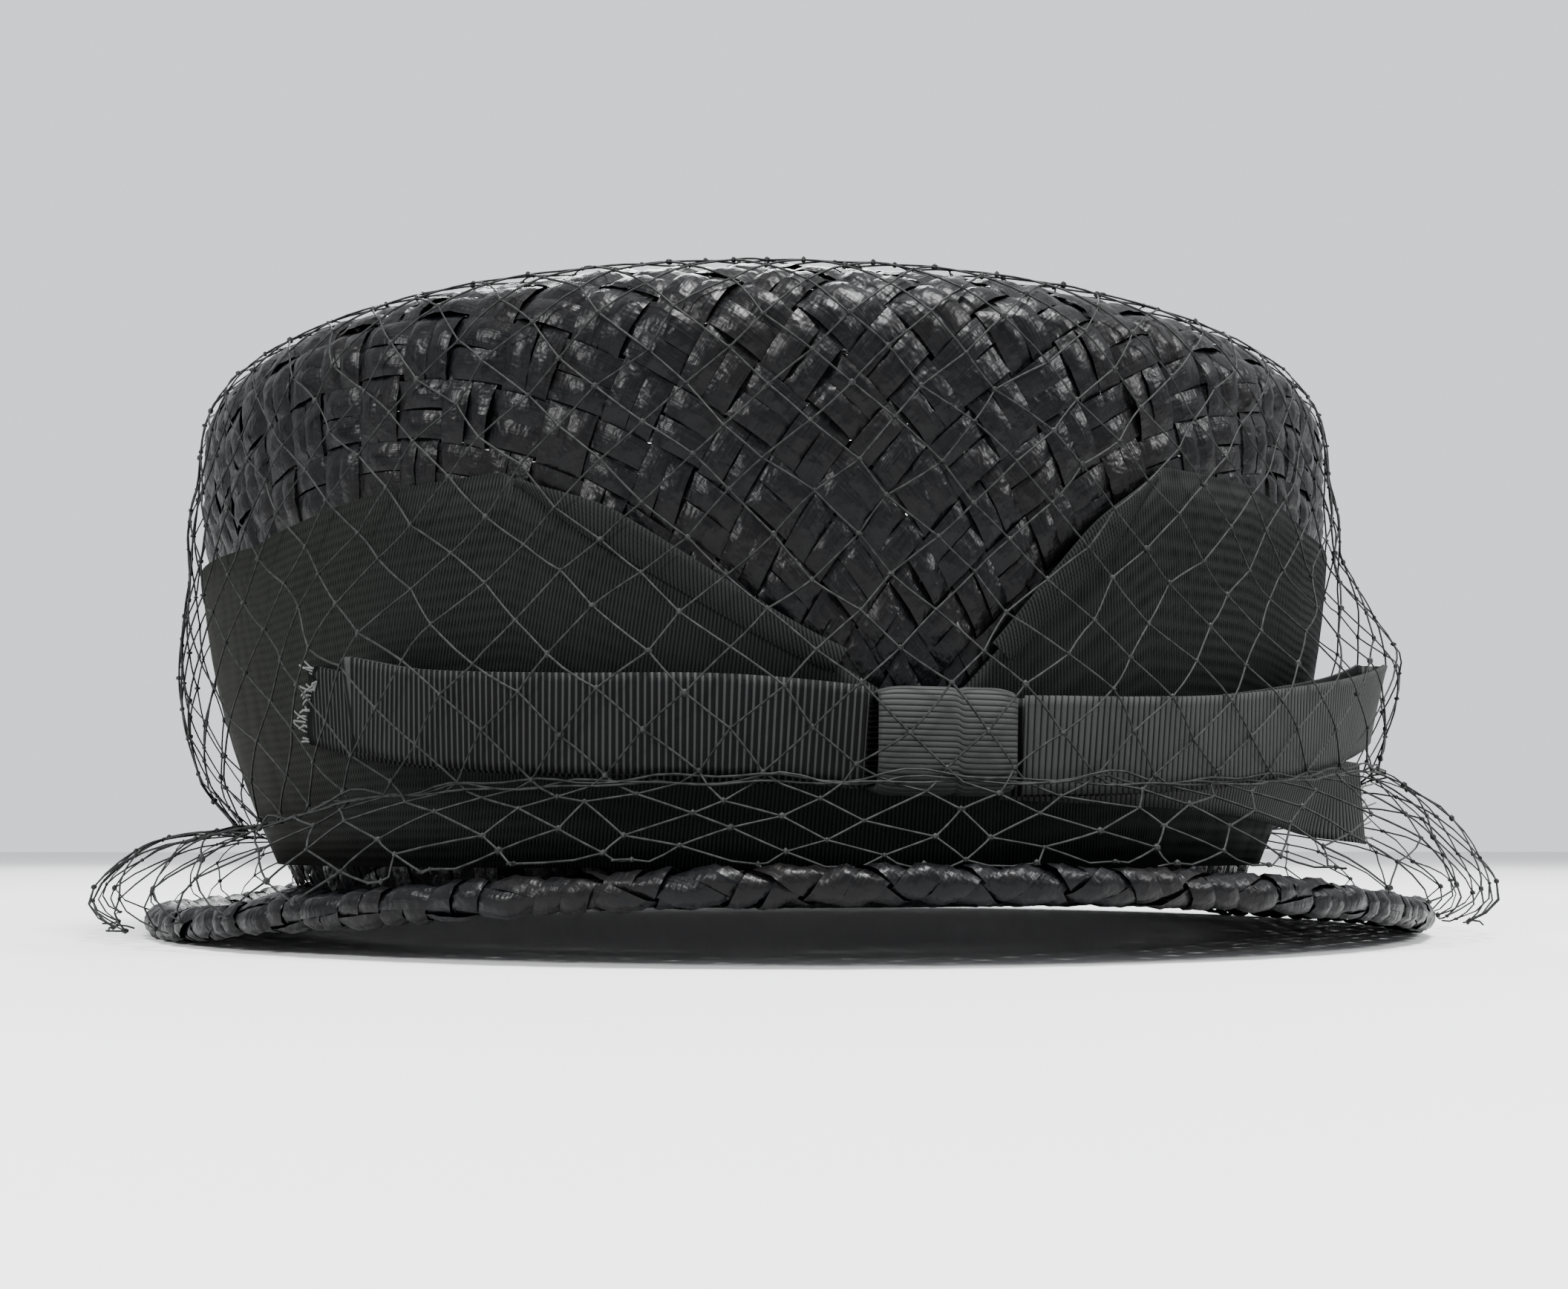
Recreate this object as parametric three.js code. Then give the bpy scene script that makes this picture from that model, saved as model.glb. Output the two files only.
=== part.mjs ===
// Ladies' straw hat: a flared drum crown on a narrow rolled brim, with a wide ribbon
// band folded to a V at the front, a flat bow and a nose veil.
// Millimetres, +Z up, the front of the hat faces -Y. Heights below are measured
// from the head opening; angles in degrees from the front, positive toward +X.
import * as THREE from 'three';
import { mergeVertices } from 'three/addons/utils/BufferGeometryUtils.js';

// ---- driving sizes -------------------------------------------------------
const HEAD_HALF_WIDTH = 82.5; // head opening, middle of the straw wall
const HEAD_LENGTHENING = 13; // how much longer than wide, half, at the opening
const CROWN_HALF_WIDTH = 100; // at the widest level
const CROWN_LENGTHENING = 2.5; // half, at the widest level and above
const WIDEST_LEVEL = 72;
const CROWN_HEIGHT = 94;
const TIP_ROUNDNESS = 3.1; // 2 would be a plain quarter ellipse
const STRAW = 2; // thickness of the straw cloth
const GAP = 0.3; // between pieces that rest on each other
const SEGMENTS = 60; // round the hat
const TIP_STEPS = [0.6, 0.68, 0.76, 0.85, 0.93]; // rows over the rounded tip, 1 at its middle

const HEM_THICKNESS = 5; // rolled edge of the brim
const HEM_FLAT = 3; // width of its level underside
const REST_LEVEL = -5; // lowest level of the hem's middle line

const SWEATBAND_HEIGHT = 25;
const SWEATBAND_THICKNESS = 1;
const SWEATBAND_LEAN = 4; // outward at its free top edge
const LABEL_WIDTH = 37;
const LABEL_HEIGHT = 13;
const LABEL_AT = 164; // degrees
const LABEL_LEVEL = 8;

const RIBBON = 1; // thickness of every ribbon
const BAND_GAP = 0.4;
const BAND_BOTTOM = 4;
const FOLD_WIDTH = 4.5;
const BOW_WIDTH = 13;
const LOOP_OPENING = 3.5; // between the two sheets of a bow loop
const VEIL = 1.2; // thickness of the veil's outer form

// ---- shapes that change round the hat --------------------------------------
// overhang: head opening to the outer edge of the brim.
const BRIM = [
  { at: 0, overhang: 31 },
  { at: 45, overhang: 30.5 },
  { at: 90, overhang: 31.5 },
  { at: 135, overhang: 28.5 },
  { at: 180, overhang: 25.5 },
  { at: 225, overhang: 25 },
  { at: 270, overhang: 24.5 },
  { at: 315, overhang: 26.5 },
];

// Top edge of the wide band: almost level, folded down to a V at the front.
const BAND_EDGE = [
  { at: 0, top: 26.5 },
  { at: 6, top: 27.5 },
  { at: 24, top: 60 },
  { at: 36, top: 60 },
  { at: 48, top: 56 },
  { at: 90, top: 55 },
  { at: 180, top: 57 },
  { at: 270, top: 54 },
  { at: 300, top: 52 },
  { at: 318, top: 56 },
  { at: 330, top: 57 },
];

// How far the veil is pushed out by the bow, how far it stays out above the
// brim, and how far its hem reaches past the brim edge.
const VEIL_FORM = [
  { at: 0, bow: 10.5, waist: 3.5, beyond: -6 },
  { at: 30, bow: 11.5, waist: 5.5, beyond: -2 },
  { at: 48, bow: 14, waist: 15, beyond: 6 },
  { at: 62, bow: 15.5, waist: 22, beyond: 9 },
  { at: 90, bow: 3.5, waist: 6, beyond: 9 },
  { at: 135, bow: 3, waist: 3.5, beyond: 5 },
  { at: 180, bow: 3, waist: 3.5, beyond: 2 },
  { at: 225, bow: 3, waist: 3.5, beyond: 5 },
  { at: 270, bow: 3.5, waist: 3.5, beyond: 9 },
  { at: 300, bow: 5, waist: 4.5, beyond: 6 },
  { at: 315, bow: 10, waist: 4, beyond: 2 },
  { at: 335, bow: 11, waist: 3.5, beyond: -3 },
];

// Outer sheet of each bow loop, from the knot to its far end.
const LOOP_LEFT = [
  { at: -2.55, height: 20.8, stand: 7.1 },
  { at: -12, height: 21.6, stand: 8 },
  { at: -24, height: 22.2, stand: 8.4 },
  { at: -36, height: 24.2, stand: 8 },
  { at: -44, height: 27, stand: 7 },
];
const LOOP_RIGHT = [
  { at: 9.75, height: 20, stand: 7.1 },
  { at: 20, height: 20.2, stand: 8.4 },
  { at: 30, height: 21.4, stand: 9.4 },
  { at: 45, height: 25.5, stand: 10.6 },
  { at: 59, height: 30.5, stand: 11.8 },
];
const TAIL_LEFT = [
  { at: -2.4, height: 20.5, stand: 2.2 },
  { at: -20, height: 21.5, stand: 2.2 },
  { at: -36, height: 23, stand: 2.2 },
  { at: -46, height: 25, stand: 2.2 },
  { at: -55, height: 28, stand: 2.2 },
];
const TAIL_RIGHT = [
  { at: 9.6, height: 19.5, stand: 2.2 },
  { at: 30, height: 18.5, stand: 2.8 },
  { at: 45, height: 17, stand: 3.4 },
  { at: 55, height: 15, stand: 6.2 },
  { at: 63, height: 14, stand: 13 },
];
const KNOT = [
  { at: -2, height: 20.8, stand: 5 },
  { at: 0.5, height: 20.8, stand: 5.3 },
  { at: 3.6, height: 20.5, stand: 5.4 },
  { at: 6.7, height: 20.2, stand: 5.3 },
  { at: 9.2, height: 20, stand: 5 },
];
const KNOT_DEPTH = 6.4;

// Folded ribbon edges along the V, given by the line of the fold.
const FOLD_LEFT = [
  { at: -29, height: 55.6 },
  { at: -24, height: 50.6 },
  { at: -16, height: 42.4 },
  { at: -8, height: 34.4 },
  { at: -4, height: 31 },
];
const FOLD_RIGHT = [
  { at: 23.4, height: 58.4 },
  { at: 20, height: 52.4 },
  { at: 16, height: 45.2 },
  { at: 12, height: 38 },
  { at: 9, height: 32.6 },
];

// ---- small helpers -----------------------------------------------------------
const DEGREES = Math.PI / 180;
const lerp = THREE.MathUtils.lerp;

// Value of one column at an angle, the table running once round the hat. It is
// curved through the rows, or straight between them.
function around(table, column, angle, curved = true) {
  const turn = ((angle % 360) + 360) % 360;
  const rowAt = (i) => table[(i + table.length) % table.length];
  const gapTo = (i) => (rowAt(i + 1).at - rowAt(i).at + 360) % 360;
  let i = table.length - 1;
  table.forEach((row, k) => {
    if (row.at <= turn) i = k;
  });
  const span = gapTo(i);
  const share = ((turn - rowAt(i).at + 360) % 360) / span;
  const [low, high] = [rowAt(i)[column], rowAt(i + 1)[column]];
  if (!curved) return lerp(low, high, share);
  const slopeLow = (high - rowAt(i - 1)[column]) / (gapTo(i - 1) + span);
  const slopeHigh = (rowAt(i + 2)[column] - low) / (span + gapTo(i + 1));
  const rest = 1 - share;
  const bend = slopeLow * rest - slopeHigh * share;
  return low * rest * rest * (1 + 2 * share) + high * share * share * (3 - 2 * share)
    + bend * span * share * rest;
}

function closedMesh(name, geometry, material) {
  geometry.deleteAttribute('normal');
  geometry.deleteAttribute('uv');
  const merged = mergeVertices(geometry, 1e-4);
  const corners = merged.index.array;
  const kept = [];
  for (let i = 0; i < corners.length; i += 3) {
    const [a, b, c] = [corners[i], corners[i + 1], corners[i + 2]];
    if (a !== b && b !== c && c !== a) kept.push(a, b, c);
  }
  merged.setIndex(kept);
  merged.computeVertexNormals();
  const mesh = new THREE.Mesh(merged, material);
  mesh.name = name;
  return mesh;
}

// A turned shape whose every point is then moved by place(angle, radius, height).
function blocked(name, profile, place, material) {
  const points = profile.map(([radius, height]) => new THREE.Vector2(radius, height));
  const geometry = new THREE.LatheGeometry(points, SEGMENTS);
  geometry.rotateX(Math.PI / 2);
  const positions = geometry.attributes.position;
  for (let i = 0; i < positions.count; i += 1) {
    const x = positions.getX(i);
    const y = positions.getY(i);
    const angle = Math.atan2(x, -y) / DEGREES;
    const spot = place(angle, Math.hypot(x, y), positions.getZ(i));
    positions.setXYZ(i, spot.x, spot.y, spot.z);
  }
  return closedMesh(name, geometry, material);
}

// ---- the crown's surface -----------------------------------------------------
// Half-width and its outward normal at a share of the way from opening to tip.
function crownCurve(share) {
  const at = (u) => {
    if (u <= 0.5) {
      const height = u * 2 * WIDEST_LEVEL;
      const below = 1 - height / WIDEST_LEVEL;
      return [CROWN_HALF_WIDTH - (CROWN_HALF_WIDTH - HEAD_HALF_WIDTH) * below ** 2, height];
    }
    const turn = (u - 0.5) * Math.PI;
    const power = 2 / TIP_ROUNDNESS;
    const radius = CROWN_HALF_WIDTH * Math.max(Math.cos(turn), 0) ** power;
    return [radius, WIDEST_LEVEL + (CROWN_HEIGHT - WIDEST_LEVEL) * Math.sin(turn) ** power];
  };
  const step = 1e-4;
  const [r0, h0] = at(Math.max(share - step, 0));
  const [r1, h1] = at(Math.min(share + step, 1));
  const length = Math.hypot(r1 - r0, h1 - h0);
  const [radius, height] = at(share);
  return { radius, height, out: (h1 - h0) / length, up: (r0 - r1) / length };
}

function lengthening(radius, height) {
  if (height <= WIDEST_LEVEL) {
    const below = Math.min(1 - height / WIDEST_LEVEL, 1);
    return CROWN_LENGTHENING + (HEAD_LENGTHENING - CROWN_LENGTHENING) * below ** 2;
  }
  return CROWN_LENGTHENING * Math.min(1, radius / CROWN_HALF_WIDTH);
}

function oval(angle, radius, height) {
  const turn = angle * DEGREES;
  const y = -(radius + lengthening(radius, height)) * Math.cos(turn);
  return new THREE.Vector3(radius * Math.sin(turn), y, height);
}

// A point standing off the crown's outer face, level with a height on the drum wall.
function onCrown(angle, height, stand) {
  const spot = crownCurve(height / WIDEST_LEVEL / 2);
  return oval(angle, spot.radius + (STRAW / 2 + stand) / spot.out, height);
}

// ---- the brim's surface --------------------------------------------------------
function hemLevel(angle) {
  const turn = angle * DEGREES;
  const arch = -1.4 + 4.6 * Math.cos(2 * turn) - 0.75 * Math.cos(turn);
  return Math.max(arch, REST_LEVEL);
}

function brimLevel(angle, share) {
  const ease = 0.4 * share + 0.6 * share * share * (3 - 2 * share);
  return hemLevel(angle) * ease - 1.1 * Math.sin(Math.PI * Math.min(share, 1));
}

// ---- pieces ----------------------------------------------------------------------
const straw = new THREE.MeshStandardMaterial({ color: 0x101114, roughness: 0.35, metalness: 0 });
const ribbon = new THREE.MeshStandardMaterial({ color: 0x1b1b1c, roughness: 0.7, metalness: 0 });
const bowRibbon = new THREE.MeshStandardMaterial({ color: 0x262729, roughness: 0.6, metalness: 0 });
const lining = new THREE.MeshStandardMaterial({ color: 0x141416, roughness: 0.75, metalness: 0 });
const cream = new THREE.MeshStandardMaterial({ color: 0xd9cfae, roughness: 0.8, metalness: 0 });
const net = new THREE.MeshStandardMaterial({ color: 0x2b2a2a, roughness: 0.8, metalness: 0 });

function strawCrown() {
  const walls = [STRAW / 2 + GAP, 18, 36, 54].map((height) => height / WIDEST_LEVEL / 2);
  const rise = [...walls, 0.5, ...TIP_STEPS];
  const skin = (share, off) => {
    const spot = crownCurve(share);
    return [spot.radius + off * spot.out, spot.height + off * spot.up];
  };
  const outer = rise.map((share) => skin(share, STRAW / 2));
  const inner = rise.map((share) => skin(share, -STRAW / 2)).reverse();
  outer[0][1] = STRAW / 2 + GAP;
  inner[inner.length - 1][1] = STRAW / 2 + GAP;
  const tipOut = [0, CROWN_HEIGHT + STRAW / 2];
  const tipIn = [0, CROWN_HEIGHT - STRAW / 2];
  const foot = [[inner[inner.length - 1][0], inner[inner.length - 1][1]]];
  const profile = [tipIn, ...inner.slice(0, -1), ...foot, ...outer, tipOut];
  return blocked('straw_crown', profile, oval, straw);
}

function strawBrim() {
  const reference = 30; // plate width in the flat profile
  const inside = 10; // profile radius of the head line
  const half = STRAW / 2;
  const hem = HEM_THICKNESS / 2;
  const shares = [0, 0.25, 0.5, 0.75];
  const profile = [
    ...shares.map((share) => [inside + share * reference, -half]),
    [inside + reference, -half - 0.4],
    [inside + reference + hem - HEM_FLAT / 2, -hem],
    [inside + reference + hem + HEM_FLAT / 2, -hem],
    [inside + reference + 2 * hem, -hem / 3],
    [inside + reference + 2 * hem, hem / 3],
    [inside + reference + hem + HEM_FLAT / 2, hem],
    [inside + reference + hem - HEM_FLAT / 2, hem],
    [inside + reference, half + 0.4],
    ...shares.map((share) => [inside + share * reference, half]).reverse(),
    [inside, -half],
  ];
  const place = (angle, radius, height) => {
    const share = (radius - inside) / reference;
    const plate = around(BRIM, 'overhang', angle) - HEM_THICKNESS;
    const start = HEAD_HALF_WIDTH - half;
    const past = Math.max(0, radius - inside - reference);
    const reach = start + Math.min(share, 1) * (plate + half) + past;
    const level = brimLevel(angle, Math.min(share, 1));
    const turn = angle * DEGREES;
    const y = -(reach + HEAD_LENGTHENING) * Math.cos(turn);
    return new THREE.Vector3(reach * Math.sin(turn), y, height + level);
  };
  return blocked('straw_brim', profile, place, straw);
}

function sweatbandRadius(height) {
  const lean = SWEATBAND_LEAN * Math.max(0, height / SWEATBAND_HEIGHT) ** 1.5;
  return HEAD_HALF_WIDTH - STRAW / 2 - GAP - SWEATBAND_THICKNESS / 2 + lean;
}

function sweatbandPoint(angle, height, off) {
  const turn = angle * DEGREES;
  const radius = sweatbandRadius(height) + off;
  const y = -(radius + HEAD_LENGTHENING) * Math.cos(turn);
  return new THREE.Vector3(radius * Math.sin(turn), y, height);
}

function sweatband() {
  const foot = -1.5;
  const half = SWEATBAND_THICKNESS / 2;
  const levels = [foot, 3, foot + SWEATBAND_HEIGHT];
  const profile = [
    ...levels.map((height) => [100 + half, height]),
    ...levels.map((height) => [100 - half, height]).reverse(),
    [100 + half, foot],
  ];
  const place = (angle, radius, height) => sweatbandPoint(angle, height, radius - 100);
  return blocked('sweatband', profile, place, lining);
}

function hatBand() {
  const rows = [0, 0.25, 0.5, 0.75, 1];
  const profile = [
    ...rows.map((share) => [100 + RIBBON, share * 50]),
    ...rows.map((share) => [100, share * 50]).reverse(),
    [100 + RIBBON, 0],
  ];
  const place = (angle, radius, height) => {
    const top = around(BAND_EDGE, 'top', angle, false);
    return onCrown(angle, lerp(BAND_BOTTOM, top, height / 50), BAND_GAP + radius - 100);
  };
  return blocked('hat_band', profile, place, ribbon);
}

// A flat strip swept through stations of centre, width direction and thickness direction.
function strip(name, stations, width, thickness, material) {
  const positions = [];
  const indices = [];
  for (const { centre, across, out, slant = 0 } of stations) {
    for (const [side, face] of [[1, 1], [-1, 1], [-1, -1], [1, -1]]) {
      const spot = centre.clone();
      spot.addScaledVector(across, side * width / 2);
      spot.addScaledVector(out, face * thickness / 2);
      if (slant) spot.addScaledVector(new THREE.Vector3().crossVectors(across, out), side * slant);
      positions.push(spot.x, spot.y, spot.z);
    }
  }
  for (let i = 0; i + 1 < stations.length; i += 1) {
    for (let k = 0; k < 4; k += 1) {
      const a = i * 4 + k;
      const b = i * 4 + ((k + 1) % 4);
      indices.push(a, b, a + 4, b, b + 4, a + 4);
    }
  }
  const end = (stations.length - 1) * 4;
  indices.push(0, 2, 1, 0, 3, 2);
  indices.push(end, end + 1, end + 2, end, end + 2, end + 3);
  const geometry = new THREE.BufferGeometry();
  geometry.setAttribute('position', new THREE.Float32BufferAttribute(positions, 3));
  geometry.setIndex(indices);
  const solid = new THREE.Mesh(geometry);
  if (signedVolume(solid.geometry) < 0) {
    for (let i = 0; i < indices.length; i += 3) {
      [indices[i], indices[i + 1]] = [indices[i + 1], indices[i]];
    }
    geometry.setIndex(indices);
  }
  return closedMesh(name, geometry, material);
}

function signedVolume(geometry) {
  const spots = geometry.attributes.position;
  const corners = geometry.index.array;
  const [a, b, c] = [new THREE.Vector3(), new THREE.Vector3(), new THREE.Vector3()];
  let total = 0;
  for (let i = 0; i < corners.length; i += 3) {
    a.fromBufferAttribute(spots, corners[i]);
    b.fromBufferAttribute(spots, corners[i + 1]);
    c.fromBufferAttribute(spots, corners[i + 2]);
    total += a.dot(b.cross(c));
  }
  return total;
}

// Stations along a list of { centre, up } where up runs along the crown wall.
function directed(spots) {
  return spots.map(({ centre, up }, i) => {
    const before = spots[Math.max(i - 1, 0)].centre;
    const after = spots[Math.min(i + 1, spots.length - 1)].centre;
    const along = after.clone().sub(before).normalize();
    const out = new THREE.Vector3().crossVectors(along, up).normalize();
    const across = new THREE.Vector3().crossVectors(out, along).normalize();
    return { centre, across, out };
  });
}

function spotOn(angle, height, stand) {
  const centre = onCrown(angle, height, stand);
  const up = onCrown(angle, height + 1, stand).sub(onCrown(angle, height - 1, stand)).normalize();
  return { centre, up };
}

// Evenly spaced rows through a table's rows, smoothed between them.
function resampled(table, count) {
  const rows = [];
  const columns = Object.keys(table[0]);
  const curves = {};
  for (const column of columns) {
    curves[column] = new THREE.CatmullRomCurve3(
      table.map((row, i) => new THREE.Vector3(i, row[column], 0)), false, 'centripetal');
  }
  for (let i = 0; i < count; i += 1) {
    const row = {};
    for (const column of columns) row[column] = curves[column].getPoint(i / (count - 1)).y;
    rows.push(row);
  }
  return rows;
}

function ribbonStrip(name, table, width, thickness, material, count) {
  const rows = resampled(table, count);
  const spots = rows.map((row) => spotOn(row.at, row.height, row.stand));
  return strip(name, directed(spots), width, thickness, material);
}

function bowLoop(name, table, material) {
  const outer = resampled(table, 9);
  const spots = outer.map((row) => spotOn(row.at, row.height, row.stand));
  const last = outer[outer.length - 1];
  const direction = Math.sign(last.at - outer[0].at);
  const radius = LOOP_OPENING / 2;
  const perDegree = onCrown(last.at, last.height, 8)
    .distanceTo(onCrown(last.at + 1, last.height, 8));
  for (const turn of [30, 60, 90, 120, 150]) {
    const ahead = direction * radius * Math.sin(turn * DEGREES) / perDegree;
    const back = radius * (1 - Math.cos(turn * DEGREES));
    spots.push(spotOn(last.at + ahead, last.height, last.stand - back));
  }
  for (const row of [...outer].reverse()) {
    spots.push(spotOn(row.at, row.height, row.stand - LOOP_OPENING));
  }
  return strip(name, directed(spots), BOW_WIDTH, RIBBON, material);
}

function fold(name, table, side) {
  const rows = resampled(table, 9);
  const centres = rows.map((row) => {
    const stand = BAND_GAP + RIBBON + GAP + RIBBON / 2;
    return { row, centre: onCrown(row.at, row.height, stand) };
  });
  const stations = centres.map(({ row, centre }, i) => {
    const before = centres[Math.max(i - 1, 0)].centre;
    const after = centres[Math.min(i + 1, centres.length - 1)].centre;
    const along = after.clone().sub(before).normalize();
    const out = onCrown(row.at, row.height, 5).sub(onCrown(row.at, row.height, 0)).normalize();
    const across = new THREE.Vector3().crossVectors(out, along).normalize();
    centre.addScaledVector(across, side * FOLD_WIDTH / 2);
    return { centre, across, out };
  });
  return strip(name, stations, FOLD_WIDTH, RIBBON, ribbon);
}

function label() {
  const spots = [];
  const perDegree = sweatbandPoint(LABEL_AT, LABEL_LEVEL, 0)
    .distanceTo(sweatbandPoint(LABEL_AT + 1, LABEL_LEVEL, 0));
  const half = LABEL_WIDTH / 2 / perDegree;
  const off = -SWEATBAND_THICKNESS / 2 - GAP - RIBBON / 2;
  const spot = (angle, height) => sweatbandPoint(angle, height, off);
  for (let i = 0; i <= 8; i += 1) {
    const angle = LABEL_AT + half * (i / 4 - 1);
    const up = spot(angle, LABEL_LEVEL + 1).sub(spot(angle, LABEL_LEVEL - 1)).normalize();
    spots.push({ centre: spot(angle, LABEL_LEVEL), up });
  }
  return strip('label', directed(spots), LABEL_HEIGHT, RIBBON, cream);
}

// The veil hangs over the crown, is held out by the bow, drawn in above the
// brim and spreads again to its hem.
function veil() {
  const reference = 100; // profile radius that stands for the middle of the net
  const tipShares = [...TIP_STEPS].reverse();
  const wall = [
    { height: WIDEST_LEVEL, bow: 0, waist: 0 },
    { height: 52, bow: 0.1, waist: 0 },
    { height: 38, bow: 1, waist: 0 },
    { height: 13, bow: 1, waist: 0.9 },
    { height: 7.5, bow: 0.5, waist: 1 },
  ];
  const skirt = [0.5, 1];
  const steps = tipShares.length + wall.length + skirt.length;
  const rows = Array.from({ length: steps }, (_, i) => steps - i);
  const profile = [
    [0, steps + 1 - VEIL / 200],
    ...rows.map((row) => [reference - VEIL / 2, row]),
    ...[...rows].reverse().map((row) => [reference + VEIL / 2, row]),
    [0, steps + 1 + VEIL / 200],
  ];
  const easy = 3.4; // stand-off of the net on the bare wall
  const place = (angle, radius, level) => {
    if (radius < 1) {
      const up = level > steps + 1 ? VEIL : 0;
      return new THREE.Vector3(0, 0, CROWN_HEIGHT + STRAW / 2 + GAP + 0.1 + up);
    }
    const off = radius - reference + VEIL / 2;
    const row = steps - Math.round(level);
    if (row < tipShares.length) {
      const spot = crownCurve(tipShares[row]);
      const stand = STRAW / 2 + lerp(GAP + 0.1, easy, row / tipShares.length) + off;
      return oval(angle, spot.radius + stand * spot.out, spot.height + stand * spot.up);
    }
    const bow = around(VEIL_FORM, 'bow', angle);
    const waist = around(VEIL_FORM, 'waist', angle);
    if (row < tipShares.length + wall.length) {
      const step = wall[row - tipShares.length];
      const stand = Math.max(easy, bow * step.bow, waist * step.waist);
      return onCrown(angle, step.height, stand + off);
    }
    const share = skirt[row - tipShares.length - wall.length];
    const hem = around(BRIM, 'overhang', angle) + around(VEIL_FORM, 'beyond', angle);
    const foot = onCrown(angle, 6.5, Math.max(easy, waist));
    const edge = oval(angle, HEAD_HALF_WIDTH + hem, 0);
    edge.z = hemLevel(angle) + 4;
    const spot = foot.lerp(edge, share);
    spot.z += off;
    return spot;
  };
  return blocked('veil', profile, place, net);
}

// ---- the hat ---------------------------------------------------------------------
const hat = new THREE.Group();
hat.name = 'straw_hat_with_veil';
hat.add(strawCrown());
hat.add(strawBrim());
hat.add(sweatband());
hat.add(label());
hat.add(hatBand());
hat.add(fold('band_fold_left', FOLD_LEFT, 1));
hat.add(fold('band_fold_right', FOLD_RIGHT, -1));
hat.add(bowLoop('bow_loop_left', LOOP_LEFT, bowRibbon));
hat.add(bowLoop('bow_loop_right', LOOP_RIGHT, bowRibbon));
hat.add(ribbonStrip('bow_knot', KNOT, BOW_WIDTH, KNOT_DEPTH, bowRibbon, 7));
hat.add(ribbonStrip('bow_tail_left', TAIL_LEFT, BOW_WIDTH - 1, RIBBON, bowRibbon, 10));
hat.add(ribbonStrip('bow_tail_right', TAIL_RIGHT, BOW_WIDTH, RIBBON, bowRibbon, 10));
hat.add(veil());

// Centre over the origin, resting at height zero.
const bounds = new THREE.Box3().setFromObject(hat);
const middle = bounds.getCenter(new THREE.Vector3());
for (const piece of hat.children) {
  piece.geometry.translate(-middle.x, -middle.y, -bounds.min.z);
}

export default hat;
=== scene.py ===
"""Woven straw hat with a ribbon band, a flat bow and a nose veil.

Laid out as a Blender add-on and run as a script. Shapes are worked out in
millimetres about the middle of the head opening and placed in the shared
frame, in metres, when a piece is finished.
"""

import math

import bmesh
import bpy
import numpy as np
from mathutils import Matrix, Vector


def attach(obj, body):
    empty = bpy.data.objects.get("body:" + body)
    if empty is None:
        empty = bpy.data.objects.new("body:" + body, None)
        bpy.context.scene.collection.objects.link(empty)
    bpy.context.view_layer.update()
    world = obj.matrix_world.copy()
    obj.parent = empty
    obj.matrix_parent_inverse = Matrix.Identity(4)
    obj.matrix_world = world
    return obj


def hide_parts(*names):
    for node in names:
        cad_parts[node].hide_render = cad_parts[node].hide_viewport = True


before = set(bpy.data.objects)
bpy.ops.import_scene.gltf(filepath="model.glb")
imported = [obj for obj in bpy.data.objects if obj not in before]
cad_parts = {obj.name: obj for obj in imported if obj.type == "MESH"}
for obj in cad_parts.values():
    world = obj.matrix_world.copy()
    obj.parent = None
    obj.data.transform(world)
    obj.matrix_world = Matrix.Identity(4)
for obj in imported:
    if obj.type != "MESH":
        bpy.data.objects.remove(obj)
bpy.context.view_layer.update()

bl_info = {
    "name": "Straw hat with veil",
    "version": (1, 0, 0),
    "blender": (4, 5, 0),
    "location": "View3D > Sidebar > Hat",
    "description": "Builds a woven straw hat with ribbon, bow and nose veil",
    "category": "Add Mesh",
}

MM = 0.001
# Middle of the head opening in the shared frame, in millimetres.
OPENING = np.array([-3.5, 1.75, 7.5])

# ---- the hat's form, shared with the solid model ----
HEAD_HALF_WIDTH = 82.5
HEAD_LENGTHENING = 13.0
CROWN_HALF_WIDTH = 100.0
CROWN_LENGTHENING = 2.5
WIDEST_LEVEL = 72.0
CROWN_HEIGHT = 94.0
TIP_ROUNDNESS = 3.1
STRAW = 2.0
HEM_THICKNESS = 5.0
REST_LEVEL = -5.0
SWEATBAND_FOOT = -1.5
SWEATBAND_HEIGHT = 25.0
SWEATBAND_LEAN = 4.0
SWEATBAND_RIB = 0.9
BAND_BOTTOM = 4.0
LOOP_OPENING = 3.5
STRAW_INSIDE = HEAD_HALF_WIDTH - STRAW / 2  # inner face at the head opening

# Tables run once round the hat: degrees from the front toward +X.
BRIM_OVERHANG = {0: 31, 45: 30.5, 90: 31.5, 135: 28.5, 180: 25.5, 225: 25, 270: 24.5, 315: 26.5}
BAND_TOP = {
    0: 26.5, 6: 27.5, 24: 60, 36: 60, 48: 56, 90: 55, 180: 57, 270: 54, 300: 52, 318: 56, 330: 57,
}
VEIL_OVER_BOW = {
    0: 10.5, 30: 11.5, 48: 14, 62: 15.5, 90: 3.5, 135: 3, 180: 3, 225: 3, 270: 3.5, 300: 5,
    315: 10, 335: 11,
}
VEIL_TOUCHES = {0: 27, 30: 28, 48: 33, 62: 38, 75: 34, 90: 27, 270: 27, 300: 30, 315: 35, 335: 30}
VEIL_PUFF = {
    0: 0, 30: 0, 62: 0, 90: 2.5, 135: 4.5, 180: 4, 225: 5, 270: 7.5, 290: 8, 315: 4, 335: 1,
}
WAIST_LEVEL = {
    0: 15, 30: 15.5, 48: 18, 62: 19, 80: 12, 90: 9.5, 135: 8, 180: 8, 225: 8, 270: 8.5, 300: 10,
    315: 13, 335: 14.5,
}
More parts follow.
